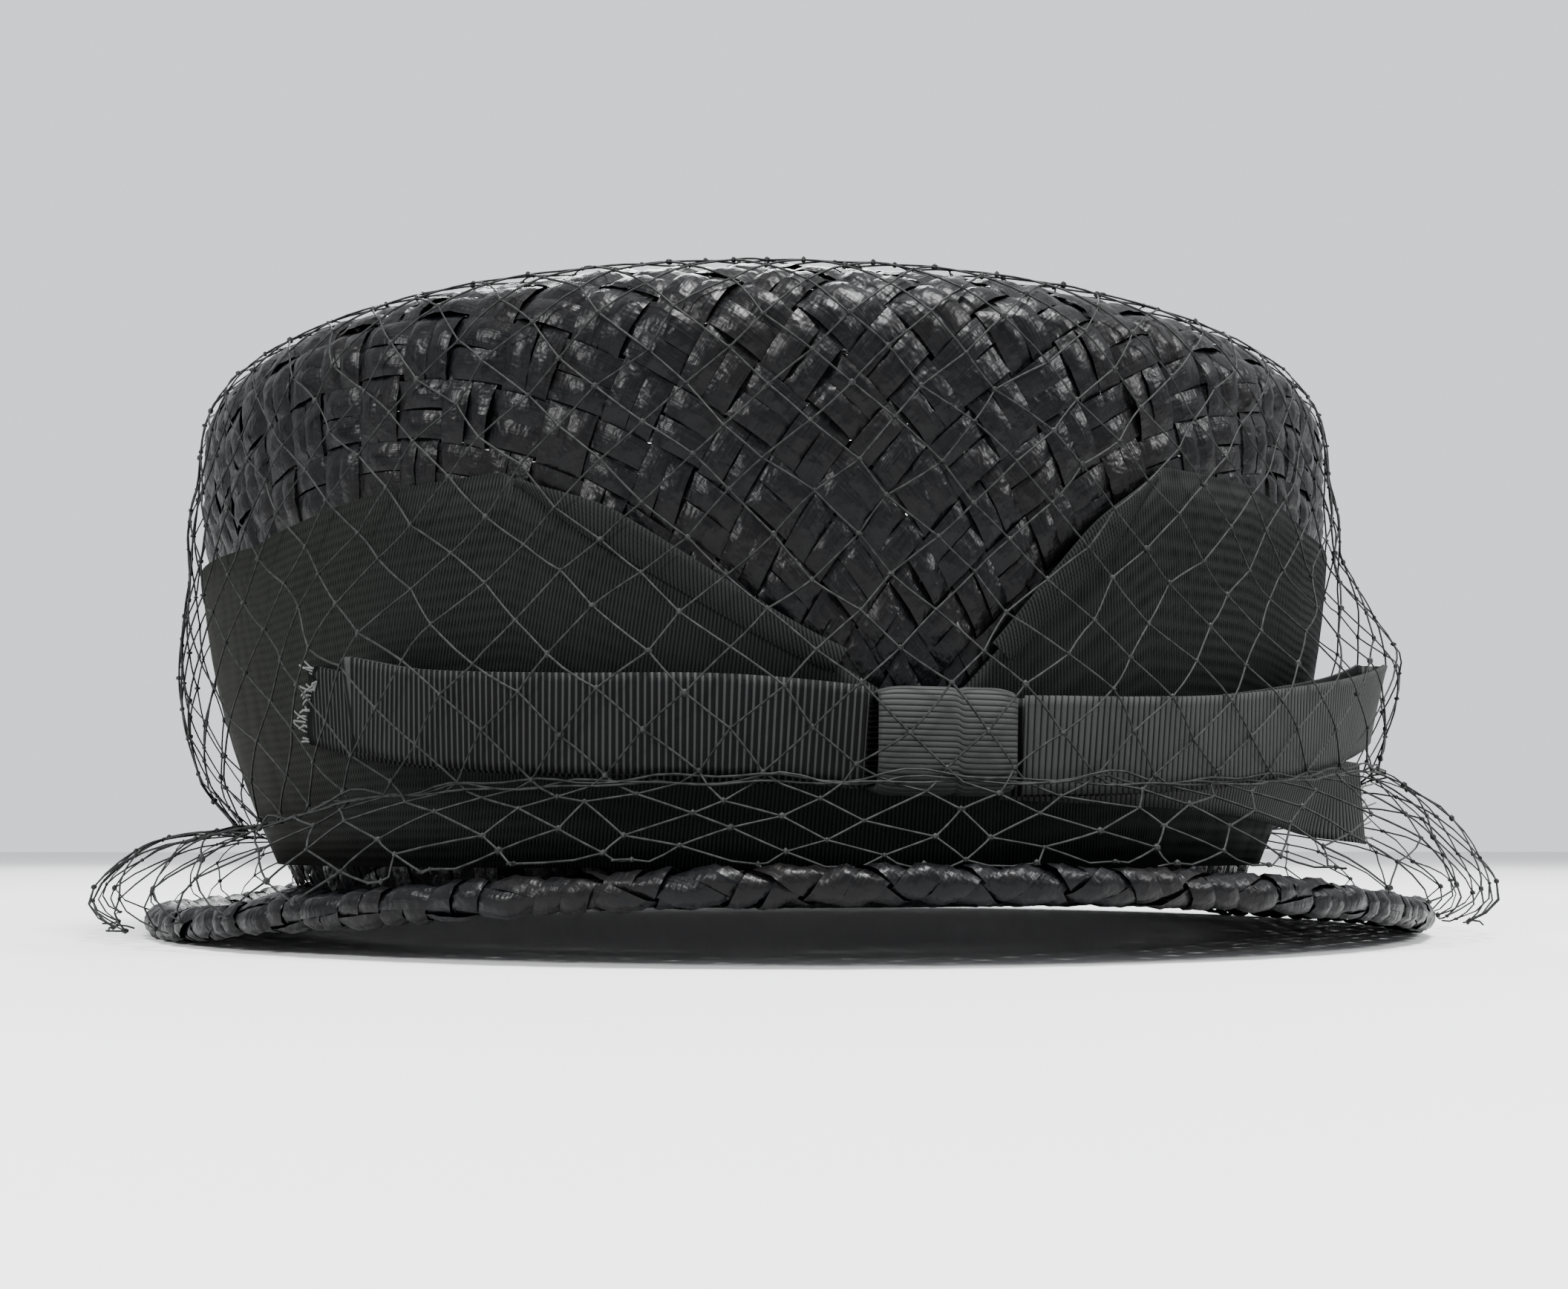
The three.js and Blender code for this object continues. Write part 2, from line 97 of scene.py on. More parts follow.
WAIST_STAND = {
    0: 9.4, 30: 10, 48: 12.2, 62: 14, 80: 8, 90: 5.5, 135: 3.5, 180: 3.5, 225: 3.5, 270: 4.5,
    300: 6, 315: 8.6, 335: 9.4,
}
VEIL_POUF = {
    0: 0.05, 30: 0.3, 48: 0.8, 62: 1, 90: 1, 135: 0.6, 180: 0.4, 225: 0.6, 270: 1, 300: 0.9,
    315: 0.55, 335: 0.15,
}
VEIL_BEYOND = {
    0: -6, 30: -2, 48: 6, 62: 9, 90: 9, 135: 5, 180: 2, 225: 5, 270: 9, 300: 6, 315: 2, 335: -3,
}

# Paths on the crown: degrees, level and stand-off from the straw.
LOOP_LEFT = ((-2.55, 20.8, 7.1), (-12, 21.6, 8), (-24, 22.2, 8.4), (-36, 24.2, 8), (-44, 27, 7))
LOOP_RIGHT = (
    (9.75, 20, 7.1), (20, 20.2, 8.4), (30, 21.4, 9.4), (45, 25.5, 10.6), (59, 30.5, 11.8),
)
TAIL_LEFT = ((-2.4, 20.5, 2.2), (-20, 21.5, 2.2), (-36, 23, 2.2), (-46, 25, 2.2), (-55, 28, 2.2))
TAIL_RIGHT = ((9.6, 19.5, 2.2), (30, 18.5, 2.8), (45, 17, 3.4), (55, 15, 6.2), (63, 14, 13))
FOLD_LEFT = ((-29, 55.6), (-24, 50.6), (-16, 42.4), (-8, 34.4), (-4, 31))
FOLD_RIGHT = ((23.4, 58.4), (20, 52.4), (16, 45.2), (12, 38), (9, 32.6))


# ---- small helpers ----
def around(table, angle, curved=True):
    """Value of a table at each angle, curved through its rows or straight between them."""
    at = np.array(list(table), float)
    values = np.array(list(table.values()), float)
    at = np.concatenate([at[-2:] - 360, at, at[:3] + 360])
    values = np.concatenate([values[-2:], values, values[:3]])
    turn = np.mod(np.asarray(angle, float), 360)
    i = np.searchsorted(at, turn, side="right") - 1
    span = at[i + 1] - at[i]
    share = (turn - at[i]) / span
    low, high = values[i], values[i + 1]
    if not curved:
        return low + (high - low) * share
    slope_low = (high - values[i - 1]) / (at[i + 1] - at[i - 1])
    slope_high = (values[i + 2] - low) / (at[i + 2] - at[i])
    rest = 1 - share
    bend = slope_low * rest - slope_high * share
    ease = low * rest * rest * (1 + 2 * share) + high * share * share * (3 - 2 * share)
    return ease + bend * span * share * rest


def through(points, share):
    """Smooth curve through rows of numbers, share running from 0 to 1."""
    rows = np.array(points, float)
    place = np.clip(np.asarray(share, float), 0, 1) * (len(rows) - 1)
    i = np.minimum(place.astype(int), len(rows) - 2)
    t = (place - i)[..., None]
    padded = np.concatenate([2 * rows[:1] - rows[1:2], rows, 2 * rows[-1:] - rows[-2:-1]])
    a, b, c, d = padded[i], padded[i + 1], padded[i + 2], padded[i + 3]
    return 0.5 * (
        2 * b + (c - a) * t + (2 * a - 5 * b + 4 * c - d) * t**2 + (3 * b - a - 3 * c + d) * t**3
    )


def unit(vectors):
    return vectors / np.maximum(np.linalg.norm(vectors, axis=-1, keepdims=True), 1e-9)


def smooth_step(value):
    value = np.clip(value, 0, 1)
    return value * value * (3 - 2 * value)


def flattened_wave(value, power):
    """A sine or cosine whose crests are broadened by a power below 1."""
    return np.sign(value) * np.abs(value) ** power


def run_along(points):
    """Distance from the first row of points to each, along them."""
    return np.concatenate([[0], np.cumsum(np.linalg.norm(np.diff(points, axis=0), axis=1))])


def rows_at(here, run, rows):
    """Rows of numbers read at distances along their run."""
    return np.stack([np.interp(here, run, column) for column in rows.T], axis=-1)


# The crown's half-outline from the opening up to the tip, and its outward normal.
_RISE = np.linspace(0, 1, 1201)


def _crown_outline():
    wall = _RISE <= 0.5
    height = np.where(wall, _RISE * 2 * WIDEST_LEVEL, 0.0)
    below = 1 - height / WIDEST_LEVEL
    turn = np.clip((_RISE - 0.5) * math.pi, 0, math.pi / 2)
    power = 2 / TIP_ROUNDNESS
    radius = np.where(
        wall,
        CROWN_HALF_WIDTH - (CROWN_HALF_WIDTH - HEAD_HALF_WIDTH) * below**2,
        CROWN_HALF_WIDTH * np.maximum(np.cos(turn), 0) ** power,
    )
    over = WIDEST_LEVEL + (CROWN_HEIGHT - WIDEST_LEVEL) * np.sin(turn) ** power
    return radius, np.where(wall, height, over)


CROWN_R, CROWN_Z = _crown_outline()
_STEP_R, _STEP_Z = np.gradient(CROWN_R), np.gradient(CROWN_Z)
_STEP = np.maximum(np.hypot(_STEP_R, _STEP_Z), 1e-9)
CROWN_OUT, CROWN_UP = _STEP_Z / _STEP, -_STEP_R / _STEP
_LENGTH = run_along(np.stack([CROWN_R, CROWN_Z], axis=-1))
FROM_TIP = _LENGTH[-1] - _LENGTH  # distance over the surface from the middle of the tip


def crown_at_distance(distance):
    """Half-width, level and normal at a distance over the surface from the tip's middle."""
    columns = (CROWN_R, CROWN_Z, CROWN_OUT, CROWN_UP)
    return [np.interp(distance, FROM_TIP[::-1], column[::-1]) for column in columns]


def crown_at_level(level):
    """Half-width of the wall at a level, and how far its normal points outward."""
    share = np.asarray(level, float) / WIDEST_LEVEL / 2
    return np.interp(share, _RISE, CROWN_R), np.interp(share, _RISE, CROWN_OUT)


def lengthening(radius, height):
    """How much longer than wide the crown is, on each side of the middle."""
    below = np.clip(1 - height / WIDEST_LEVEL, 0, 1)
    wall = CROWN_LENGTHENING + (HEAD_LENGTHENING - CROWN_LENGTHENING) * below**2
    tip = CROWN_LENGTHENING * np.minimum(1, radius / CROWN_HALF_WIDTH)
    return np.where(height <= WIDEST_LEVEL, wall, tip)


def ring(angle, radius, longer, height):
    turn = np.radians(angle)
    y = -(radius + longer) * np.cos(turn)
    return np.stack(np.broadcast_arrays(radius * np.sin(turn), y, height), axis=-1)


def oval(angle, radius, height):
    """Points round the crown."""
    return ring(angle, radius, lengthening(radius, height), height)


def head_oval(angle, radius, height):
    """Points round the head opening and the brim."""
    return ring(angle, radius, HEAD_LENGTHENING, height)


def on_crown(angle, level, stand):
    """Points standing off the straw's outer face, level with heights on the wall."""
    radius, out = crown_at_level(level)
    return oval(angle, radius + (STRAW / 2 + stand) / out, np.asarray(level, float))


def hem_level(angle):
    turn = np.radians(angle)
    arch = -1.4 + 4.6 * np.cos(2 * turn) - 0.75 * np.cos(turn)
    return np.maximum(arch, REST_LEVEL)


def brim_level(angle, share):
    """Level of the brim's middle, share running from the crown to the hem."""
    share = np.clip(share, 0, 1)
    ease = 0.4 * share + 0.6 * share * share * (3 - 2 * share)
    return hem_level(angle) * ease - 1.1 * np.sin(np.pi * share)


# ---- meshes ----
def grid_strip(bm, along, across):
    """A flat grid whose points read 0..1 along and 0..1 across; returns its vertices."""
    made = bmesh.ops.create_grid(bm, x_segments=along, y_segments=across, size=0.5)
    bmesh.ops.translate(bm, verts=made["verts"], vec=(0.5, 0.5, 0))
    return made["verts"]


def vertex_array(bm):
    return np.array([v.co[:] for v in bm.verts], float)


def new_grid(along, across):
    """A flat grid, and the shares along and across of its points."""
    bm = bmesh.new()
    grid_strip(bm, along, across)
    return bm, *vertex_array(bm).T[:2]


def small_strips(strips, along, across, place):
    """Grids for threads and stitches: place(strip, share, side) gives every point."""
    bm = bmesh.new()
    points = [
        place(strip, vert.co.x, vert.co.y)
        for strip in strips
        for vert in grid_strip(bm, along, across)
    ]
    return bm, points


def new_mesh(name, bm, cloth):
    mesh = bpy.data.meshes.new(name)
    bm.to_mesh(mesh)
    bm.free()
    mesh.materials.append(material(cloth))
    return mesh


def add_piece(name, mesh, node_names, slot):
    """Puts a mesh into the scene as a piece that rides on the hat."""
    piece = bpy.data.objects.new(name, mesh)
    bpy.context.scene.collection.objects.link(piece)
    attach(piece, "root")
    if node_names:
        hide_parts(*node_names)
    return piece


def finish_piece(name, bm, places, node_names, slot, uv=None, cloth=None):
    """Turns a bmesh and its worked-out points, in millimetres, into a piece."""
    mesh = new_mesh(name, bm, cloth or slot)
    spots = (np.asarray(places, float) + OPENING) * MM
    mesh.vertices.foreach_set("co", spots.astype(np.float32).ravel())
    uv = np.zeros((len(spots), 2)) if uv is None else np.stack(uv, axis=-1) * MM
    layer = mesh.uv_layers.new(name="UVMap")
    corner = np.zeros(len(mesh.loops), np.int32)
    mesh.loops.foreach_get("vertex_index", corner)
    layer.data.foreach_set("uv", uv[corner].astype(np.float32).ravel())
    mesh.polygons.foreach_set("use_smooth", [True] * len(mesh.polygons))
    mesh.update()
    return add_piece(name, mesh, node_names, slot)


def thicken(piece, millimetres):
    solid = piece.modifiers.new("Thickness", "SOLIDIFY")
    solid.thickness = millimetres * MM
    solid.offset = 0


# ---- sizes and colours a user would change ----
def size(name, description, default, low=0.1, high=40.0):
    return bpy.props.FloatProperty(
        name=name, description=description, default=default, min=low, max=high
    )


def colour(name, description, default):
    return bpy.props.StringProperty(name=name, description=description, default=default)


class HatStraw(bpy.types.PropertyGroup):
    """The woven straw"""

    bundle: size("Bundle", "Width of a pair of strands in the flat cloth, mm", 7.8)
    relief: size("Relief", "Rise of a strand over the middle of the cloth, mm", 0.72)
    cover: size("Cover", "Share of its room that a strand fills", 0.94, 0.5, 1.0)
    steps: bpy.props.IntProperty(
        name="Steps", description="Mesh steps along one bundle", default=6, min=3, max=12
    )
    seed: bpy.props.IntProperty(name="Seed", description="Irregularity of the strands", default=7)


class HatRibbon(bpy.types.PropertyGroup):
    """The ribbons"""

    band_rib: size("Band rib", "Distance between ribs of the wide band, mm", 0.62)
    bow_rib: size("Bow rib", "Distance between ribs of the bow ribbon, mm", 0.92)
    bow_width: size("Bow width", "Width of the bow ribbon, mm", 13.0)
    thickness: size("Thickness", "Thickness of the ribbon, mm", 0.45)


class HatNet(bpy.types.PropertyGroup):
    """The veil"""

    columns: bpy.props.IntProperty(
        name="Columns", description="Net cells round the hat", default=58, min=20, max=90
    )
    side: size("Cell side", "Length of thread from knot to knot, mm", 7.8)
    thread: size("Thread", "Thickness of the net's thread, mm", 0.31)
    seed: bpy.props.IntProperty(name="Seed", description="Irregularity of the net", default=11)


class HatColours(bpy.types.PropertyGroup):
    """Colours as sRGB hex values"""

    straw: colour("Straw", "Dyed and lacquered straw", "#050608")
    straw_warm: colour("Straw, worn", "Straw where the dye has thinned", "#0B0908")
    band: colour("Band", "Ribbed ribbon of the wide band", "#171918")
    # Painted sheen: a lighter olive grey painted on the band toward the hat's left side, standing
    # for the ribbon's sheen there, not for greying by dust and sun.
    band_painted_sheen: colour("Band, faded", "Ribbon greyed by dust and sun", "#1A1B17")
    # Painted light and shade: the bow ribbon gets the first colour on its ribs' crests and the
    # second, darker one in the grooves between them.
    bow: colour("Bow", "Bow ribbon on its ribs", "#2D2E2D")
    bow_groove_shade: colour("Bow, deep", "Bow ribbon between its ribs", "#060607")
    sweatband: colour("Sweatband", "Ribbon inside the head opening", "#101011")
    label: colour("Label", "Woven label", "#CFC4A2")
    net: colour("Net", "Thread of the veil", "#232423")
    floor: colour("Floor", "Plain floor", "#D6D6D6")


# ---- materials ----
def linear(hex_colour):
    """sRGB hex to linear red, green, blue and alpha."""
    value = hex_colour.lstrip("#")
    parts = [int(value[i : i + 2], 16) / 255 for i in (0, 2, 4)]
    return (*[p / 12.92 if p <= 0.04045 else ((p + 0.055) / 1.055) ** 2.4 for p in parts], 1.0)


class Shader:
    """Short calls that add nodes to a material; each returns the node's output socket."""

    def __init__(self, tree):
        self.tree = tree

    def node(self, kind, inputs=(), output=0, **settings):
        """Adds a node; inputs maps socket names or numbers to values or output sockets."""
        made = self.tree.nodes.new("ShaderNode" + kind)
        for key, value in settings.items():
            setattr(made, key, value)
        for key, value in dict(inputs).items():
            if isinstance(value, bpy.types.NodeSocket):
                self.tree.links.new(value, made.inputs[key])
            else:
                made.inputs[key].default_value = value
        return made.outputs[output] if made.outputs else None

    def uv(self):
        return self.node("UVMap", uv_map="UVMap")

    def spot(self):
        return self.node("TexCoord", output="Object")

    def noise(self, vector, scale, detail=2.0):
        return self.node("TexNoise", {"Vector": vector, "Scale": scale, "Detail": detail})

    def grain(self, along, across, detail):
        """Noise drawn out along the cloth, in repeats to the metre along and across."""
        drawn = self.node("Mapping", {"Vector": self.uv(), "Scale": (along, across, 1)})
        return self.noise(drawn, 1.0, detail)

    def maths(self, operation, first, second=0.5):
        return self.node("Math", {0: first, 1: second}, operation=operation)

    def spread(self, value, *limits):
        """Maps a value from the first two limits to the last two."""
        return self.node("MapRange", {0: value, **dict(enumerate(limits, 1))})

    def first_part(self, vector):
        return self.node("SeparateXYZ", {0: vector})

    def ramp(self, factor, *stops):
        made = self.node("ValToRGB", {0: factor})
        for element, (position, hex_colour) in zip(made.node.color_ramp.elements, stops):
            element.position = position
            element.color = linear(hex_colour)
        return made

    def bump(self, height, strength, distance, **under):
        inputs = {"Height": height, "Strength": strength, "Distance": distance}
        return self.node("Bump", {**inputs, **under})

    def surface(self, **inputs):
        """Ends the tree; sockets are named with underscores for their spaces."""
        named = {key.replace("_", " "): value for key, value in inputs.items()}
        self.node("OutputMaterial", {"Surface": self.node("BsdfPrincipled", named)})


def lacquered_straw(shader, colours):
    """Flat split straw, dyed black and lacquered: patchy glints broken by fine
    lengthwise streaks and shallow wrinkles."""
    # Fibre lines run along a strand: 0.25 mm apart, 9 mm long.
    fibres = shader.grain(110, 4000, 3.0)
    wrinkles = shader.grain(560, 420, 2.0)
    tone = shader.maths("MULTIPLY", shader.noise(shader.spot(), 70.0), fibres)
    base = shader.ramp(tone, (0.18, colours.straw), (0.42, colours.straw_warm))
    rough = shader.spread(fibres, 0.3, 0.7, 0.25, 0.46)
    low = shader.bump(wrinkles, 0.8, 0.0006)
    fine = shader.bump(fibres, 0.3, 0.00012, Normal=low)
    shader.surface(Base_Color=base, Roughness=rough, Specular_IOR_Level=0.115, Normal=fine)


def ribbed_ribbon(shader, high, low, rib, roughness, sheen, painted_sheen=None):
    """Grosgrain or faille ribbon: the ribs are in the mesh, the material gives the silky warp over
    them, a soft sheen and a little unevenness of dye. Painted light and shade: the colour runs from
    the low colour in the grooves to the high colour on the ribs' crests, and a faded colour, where
    given, is painted sheen on the hat's left side."""
    # Painted light and shade: share is 0 in the grooves and 1 on the ribs' crests, so the ramp
    # below paints the grooves dark and the crests light.
    turn = shader.maths("MULTIPLY", shader.first_part(shader.uv()), 2 * math.pi / (rib * MM))
    share = shader.spread(shader.maths("COSINE", turn), -1.0, 1.0, 0.0, 1.0)
    # Warp threads cross the ribs, 0.12 mm apart.
    threads = shader.grain(900, 8000, 1.0)
    uneven = shader.maths("MULTIPLY", shader.noise(shader.spot(), 45.0, 3.0))
    base = shader.ramp(shader.maths("ADD", share, uneven), (0.4, low), (0.9, high))
    if painted_sheen:
        # Painted sheen: toward the hat's left side the ribbon is painted a lighter, olive grey that
        # stands for its sheen there.
        sheen_share = shader.spread(shader.first_part(shader.spot()), -0.062, -0.1, 0.0, 0.8)
        colours = {0: sheen_share, 6: base, 7: linear(painted_sheen)}
        base = shader.node("Mix", colours, output=2, data_type="RGBA")
    shader.surface(
        Base_Color=base,
        Roughness=roughness,
        Specular_IOR_Level=0.05,
        Sheen_Weight=sheen,
        Sheen_Roughness=0.45,
        Normal=shader.bump(threads, 0.5, 0.00008),
    )


def faille(shader, colours):
    rib = bpy.context.scene.hat_ribbon.band_rib
    # 020303 is painted shade in the grooves between the band's ribs.
    # The last colour passed here is painted sheen on the band toward the hat's left side.
    ribbed_ribbon(shader, colours.band, "#020303", rib, 0.6, 0.0, colours.band_painted_sheen)


def grosgrain(shader, colours):
    rib = bpy.context.scene.hat_ribbon.bow_rib
    # The deep colour is painted shade in the grooves between the bow's ribs.
    ribbed_ribbon(shader, colours.bow, colours.bow_groove_shade, rib, 0.55, 0.01)


def petersham(shader, colours):
    # 080809 is painted shade in the grooves between the sweatband's ribs.
    ribbed_ribbon(shader, colours.sweatband, "#080809", SWEATBAND_RIB, 0.7, 0.02)


def frayed_silk(shader, colours):
    """Loose silk threads at a cut end, paler than the ribbon."""
    # The darker colour is painted shade in stripes, as between a ribbon's ribs.
    ribbed_ribbon(shader, "#5A5C5A", "#2E2F2E", 0.5, 0.7, 0.1)


def woven_label(shader, colours):
    """Satin-woven cream label: fine level weft lines, slightly yellowed at places."""
    aged = shader.noise(shader.spot(), 60.0)
    base = shader.ramp(aged, (0.3, "#BBAD84"), (0.65, colours.label))
    lines = shader.bump(shader.grain(500, 5200, 1.0), 0.6, 0.0001)
    shader.surface(Base_Color=base, Roughness=0.7, Sheen_Weight=0.2, Normal=lines)


def net_thread(shader, colours):
    """Fine nylon and rayon thread, faded charcoal, slightly shiny."""
    fibre = shader.noise(shader.spot(), 900.0, 1.0)
    base = shader.ramp(fibre, (0.35, "#111212"), (0.65, colours.net))
    shader.surface(Base_Color=base, Roughness=0.55, Specular_IOR_Level=0.12)


def plain_floor(shader, colours):
    """Matt painted board: even and pale, with the faintest mottling."""
    mottle = shader.noise(shader.spot(), 3.0)
    base = shader.ramp(mottle, (0.3, colours.floor), (0.7, "#DADADA"))
    shader.surface(Base_Color=base, Roughness=0.85)


# Each slot's material, and two more: its name, and what builds its nodes.
MATERIALS = {
    "straw": ("lacquered_black_straw", lacquered_straw),
    "band_ribbon": ("charcoal_faille_ribbon", faille),
    "bow_ribbon": ("grey_grosgrain_ribbon", grosgrain),
    "sweatband": ("black_petersham_ribbon", petersham),
    "label": ("cream_woven_label", woven_label),
    "net": ("charcoal_net_thread", net_thread),
    "frayed": ("frayed_silk_threads", frayed_silk),
    "floor": ("pale_matt_floor", plain_floor),
}


def material(use):
    """The material for a slot or other use, built when it is first asked for."""
    name, build = MATERIALS[use]
    if name not in bpy.data.materials:
        made = bpy.data.materials.new(name)
        made.use_nodes = True
        made.node_tree.nodes.clear()
        build(Shader(made.node_tree), bpy.context.scene.hat_colours)
    return bpy.data.materials[name]


# ---- woven straw ----
FLOAT_POWER = 0.75  # below 1, a float rises steeply and stays high
FULLNESS = (0.8, 1.15)  # lowest and highest rise of a float, as a share of the relief
STRAND_WIDTH = (0.93, 1.02)  # narrowest and widest strand, as a share of its room
TILT = 0.22  # spread of a float's lean to one side, as a share of the relief
WANDER = 0.035  # spread of a strand's drift off its line, as a share of its room
PAIRING = 0.035  # how far the two strands of a bundle draw together, the same way


def strands(bm, runs, pitch, steps_per_pitch, across=4):
    """Adds a grid for each run (centre line, start, end); a vertex then holds its
    distance along, its centre line, and its place across from -1 to 1."""
    for centre, start, end in runs:
        count = max(2, round((end - start) / pitch * steps_per_pitch))
        for vert in grid_strip(bm, count, across):
            along = start + (end - start) * vert.co.x
            vert.co = Vector((along, centre, 2 * vert.co.y - 1))


def weave_points(points, straw, is_weft, rng):
    """Cloth coordinates and lift of strand vertices in a two-by-two basket weave."""
    along, centre, across = points.T
    bundle = straw.bundle
    pitch = bundle / 2
    strand = np.round(centre / pitch - 0.5).astype(int)
    index = strand - strand.min()
    block = np.floor(centre / bundle).astype(int)
    crossing = np.floor(along / bundle).astype(int)
    crossing -= crossing.min()
    shape = (index.max() + 1, crossing.max() + 2)
    wave = np.sin(np.pi * along / bundle) * np.where(block % 2 == 0, 1, -1)
    lift = flattened_wave(-wave if is_weft else wave, FLOAT_POWER)
    fullness = rng.uniform(*FULLNESS, shape)[index, crossing]
    tilt = rng.normal(0, TILT, shape)[index, crossing]
    wander = rng.normal(0, WANDER, shape)
    share = smooth_step(along / bundle - np.floor(along / bundle))
    drift = wander[index, crossing] * (1 - share) + wander[index, crossing + 1] * share
    width = rng.uniform(*STRAND_WIDTH, shape)[index, crossing]
    phase = rng.uniform(0, 2 * np.pi, shape[0])[index]
    crinkle = 0.10 * np.sin(along * 2.1 + phase) + 0.09 * np.sin(along * 4.3 + across * 2 + phase)
    curl = 1 - 0.5 * np.abs(across) ** 2.5
    height = straw.relief * (lift * fullness * curl + tilt * across * np.abs(lift) + crinkle)
    # The two strands of a bundle lie close and the bundles stand a little apart.
    pair = np.where(strand % 2 == 0, 1, -1)
    side = centre + pitch * (0.5 * straw.cover * width * across + drift + PAIRING * pair)
    return along, side, height, index


def weave(part, runs, place, seed):
    """Both directions of a part's cloth, each as a piece: runs lists the strands and
    place maps cloth points and their lift to space."""
    straw = bpy.context.scene.hat_straw
    pitch = straw.bundle / 2
    for direction, is_weft in (("warp", False), ("weft", True)):
        rng = np.random.default_rng(seed + is_weft)
        bm = bmesh.new()
        strands(bm, runs(pitch, is_weft), pitch, straw.steps / 2)
        points = vertex_array(bm)
        along, side, height, index = weave_points(points, straw, is_weft, rng)
        flat = (side, along) if is_weft else (along, side)
        # Every strand reads its own part of the straw's grain.
        uv = (along + 37.0 * index, points[:, 2] * 1.6 + 5.0 * index)
        places = place(*flat, height)
        finish_piece(f"{part}_{direction}", bm, places, (f"straw_{part}",), "straw", uv)


def turned(u, v):
    """Cloth coordinates to the hat's plan: the cloth lies on the bias."""
    half = math.sqrt(0.5)
    return (u - v) * half, (u + v) * half


# How fast the flat cloth is used up going from the tip's middle down the wall.
CLOTH_DISTANCE = np.array([0.0, 80.0, 112.0, 190.0])
CLOTH_RADIUS = np.array([0.0, 70.0, 96.0, 166.0])


def crown_place(u, v, lift):
    """Cloth points on the crown, lifted off its middle surface."""
    x, y = turned(u, v)
    angle = np.degrees(np.arctan2(x, -y))
    distance = np.interp(np.hypot(x, y), CLOTH_RADIUS, CLOTH_DISTANCE)
    radius, level, out, up = crown_at_distance(distance)
    # Under the band the cloth is pressed flatter than on the open dome.
    over_band = smooth_step((level - around(BAND_TOP, angle, curved=False)) / 5)
    lift = lift * (0.84 + 0.5 * over_band)
    return oval(angle, radius + lift * out, level + lift * up)


def crown_runs(pitch, _):
    """Centre line, start and end of the crown's strands, alike in both directions."""
    foot = STRAW / 2 + 0.3
    distance = np.interp(foot, CROWN_Z, FROM_TIP)
    limit = np.interp(distance, CLOTH_DISTANCE, CLOTH_RADIUS)
    count = int(limit / pitch)
    centres = (np.arange(-count - 1, count + 1) + 0.5) * pitch
    reaches = np.sqrt(np.maximum(limit**2 - centres**2, 0))
    return [(centre, -reach, reach) for centre, reach in zip(centres, reaches) if reach > pitch]


HEM_RADIUS = 1.9  # of the cloth's middle round the hem
HEM_TURN = math.radians(250)
HEM_CLIMB = 5  # millimetres over which the cloth climbs onto the hem's roll
LOWEST = 0.03  # strands stop this far over the floor, in millimetres


def hem_radius_at(angle):
    return around(BRIM_OVERHANG, angle) + HEAD_HALF_WIDTH - HEM_THICKNESS / 2


def brim_surface(angle, radius):
    """Level of the cloth's middle on the upper side of the brim."""
    hem = hem_radius_at(angle)
    level = brim_level(angle, (radius - STRAW_INSIDE) / (hem - STRAW_INSIDE))
    return level + HEM_RADIUS * smooth_step((radius - hem + HEM_CLIMB) / HEM_CLIMB)


def plan_to_brim(x, y):
    """Angle and profile radius of points in the brim's plan, found by Newton's method."""
    radius = np.hypot(x, y) - 6
    for _ in range(12):
        long = radius + HEAD_LENGTHENING
        value = (x / radius) ** 2 + (y / long) ** 2 - 1
        slope = -2 * x**2 / radius**3 - 2 * y**2 / long**3
        radius = radius - value / slope
    angle = np.degrees(np.arctan2(x / radius, -y / (radius + HEAD_LENGTHENING)))
    return angle, radius


def brim_place(u, v, lift):
    """Cloth points on the brim, and round the hem past its edge."""
    angle, radius = plan_to_brim(*turned(u, v))
    hem = hem_radius_at(angle)
    turn = np.clip((radius - hem) / HEM_RADIUS, 0, None)
    roll = HEM_RADIUS + lift * 1.15
    beyond = radius > hem
    wrapped = hem_level(angle) + roll * np.cos(turn)
    level = np.where(beyond, wrapped, brim_surface(angle, radius) + lift)
    level = np.maximum(level, LOWEST - OPENING[2])
    return head_oval(angle, np.where(beyond, hem + roll * np.sin(turn), radius), level)


def brim_runs(pitch, is_weft):
    """Centre line, start and end of the brim's strands in one direction."""
    runs = []
    sample = np.arange(-150, 150.1, 0.5)
    for centre in (np.arange(-45, 45) + 0.5) * pitch:
        flat = (np.full_like(sample, centre), sample)
        x, y = turned(*(flat if is_weft else flat[::-1]))
        # Points in the head opening are left out before the slower reading.
        inside = (x / 75) ** 2 + (y / 88) ** 2 < 1
        angle, radius = plan_to_brim(np.where(inside, 200, x), y)
        limit = hem_radius_at(angle) + HEM_RADIUS * HEM_TURN
        good = ~inside & (radius > STRAW_INSIDE + 0.3) & (radius < limit)
        edges = np.flatnonzero(np.diff(np.concatenate([[0], good.astype(int), [0]])))
        for first, last in zip(edges[::2], edges[1::2]):
            if last - first > 3:
                runs.append((centre, sample[first], sample[last - 1]))
    return runs


class HAT_OT_straw_crown(bpy.types.Operator):
    """Weave the crown from two sets of flat straw strands"""

    bl_idname = "hat.straw_crown"
    bl_label = "Straw crown"

    def execute(self, context):
        weave("crown", crown_runs, crown_place, context.scene.hat_straw.seed)
        return {"FINISHED"}


class HAT_OT_straw_brim(bpy.types.Operator):
    """Weave the brim and roll its cloth round the hem"""

    bl_idname = "hat.straw_brim"
    bl_label = "Straw brim"

    def execute(self, context):
        weave("brim", brim_runs, brim_place, context.scene.hat_straw.seed + 2)
        return {"FINISHED"}


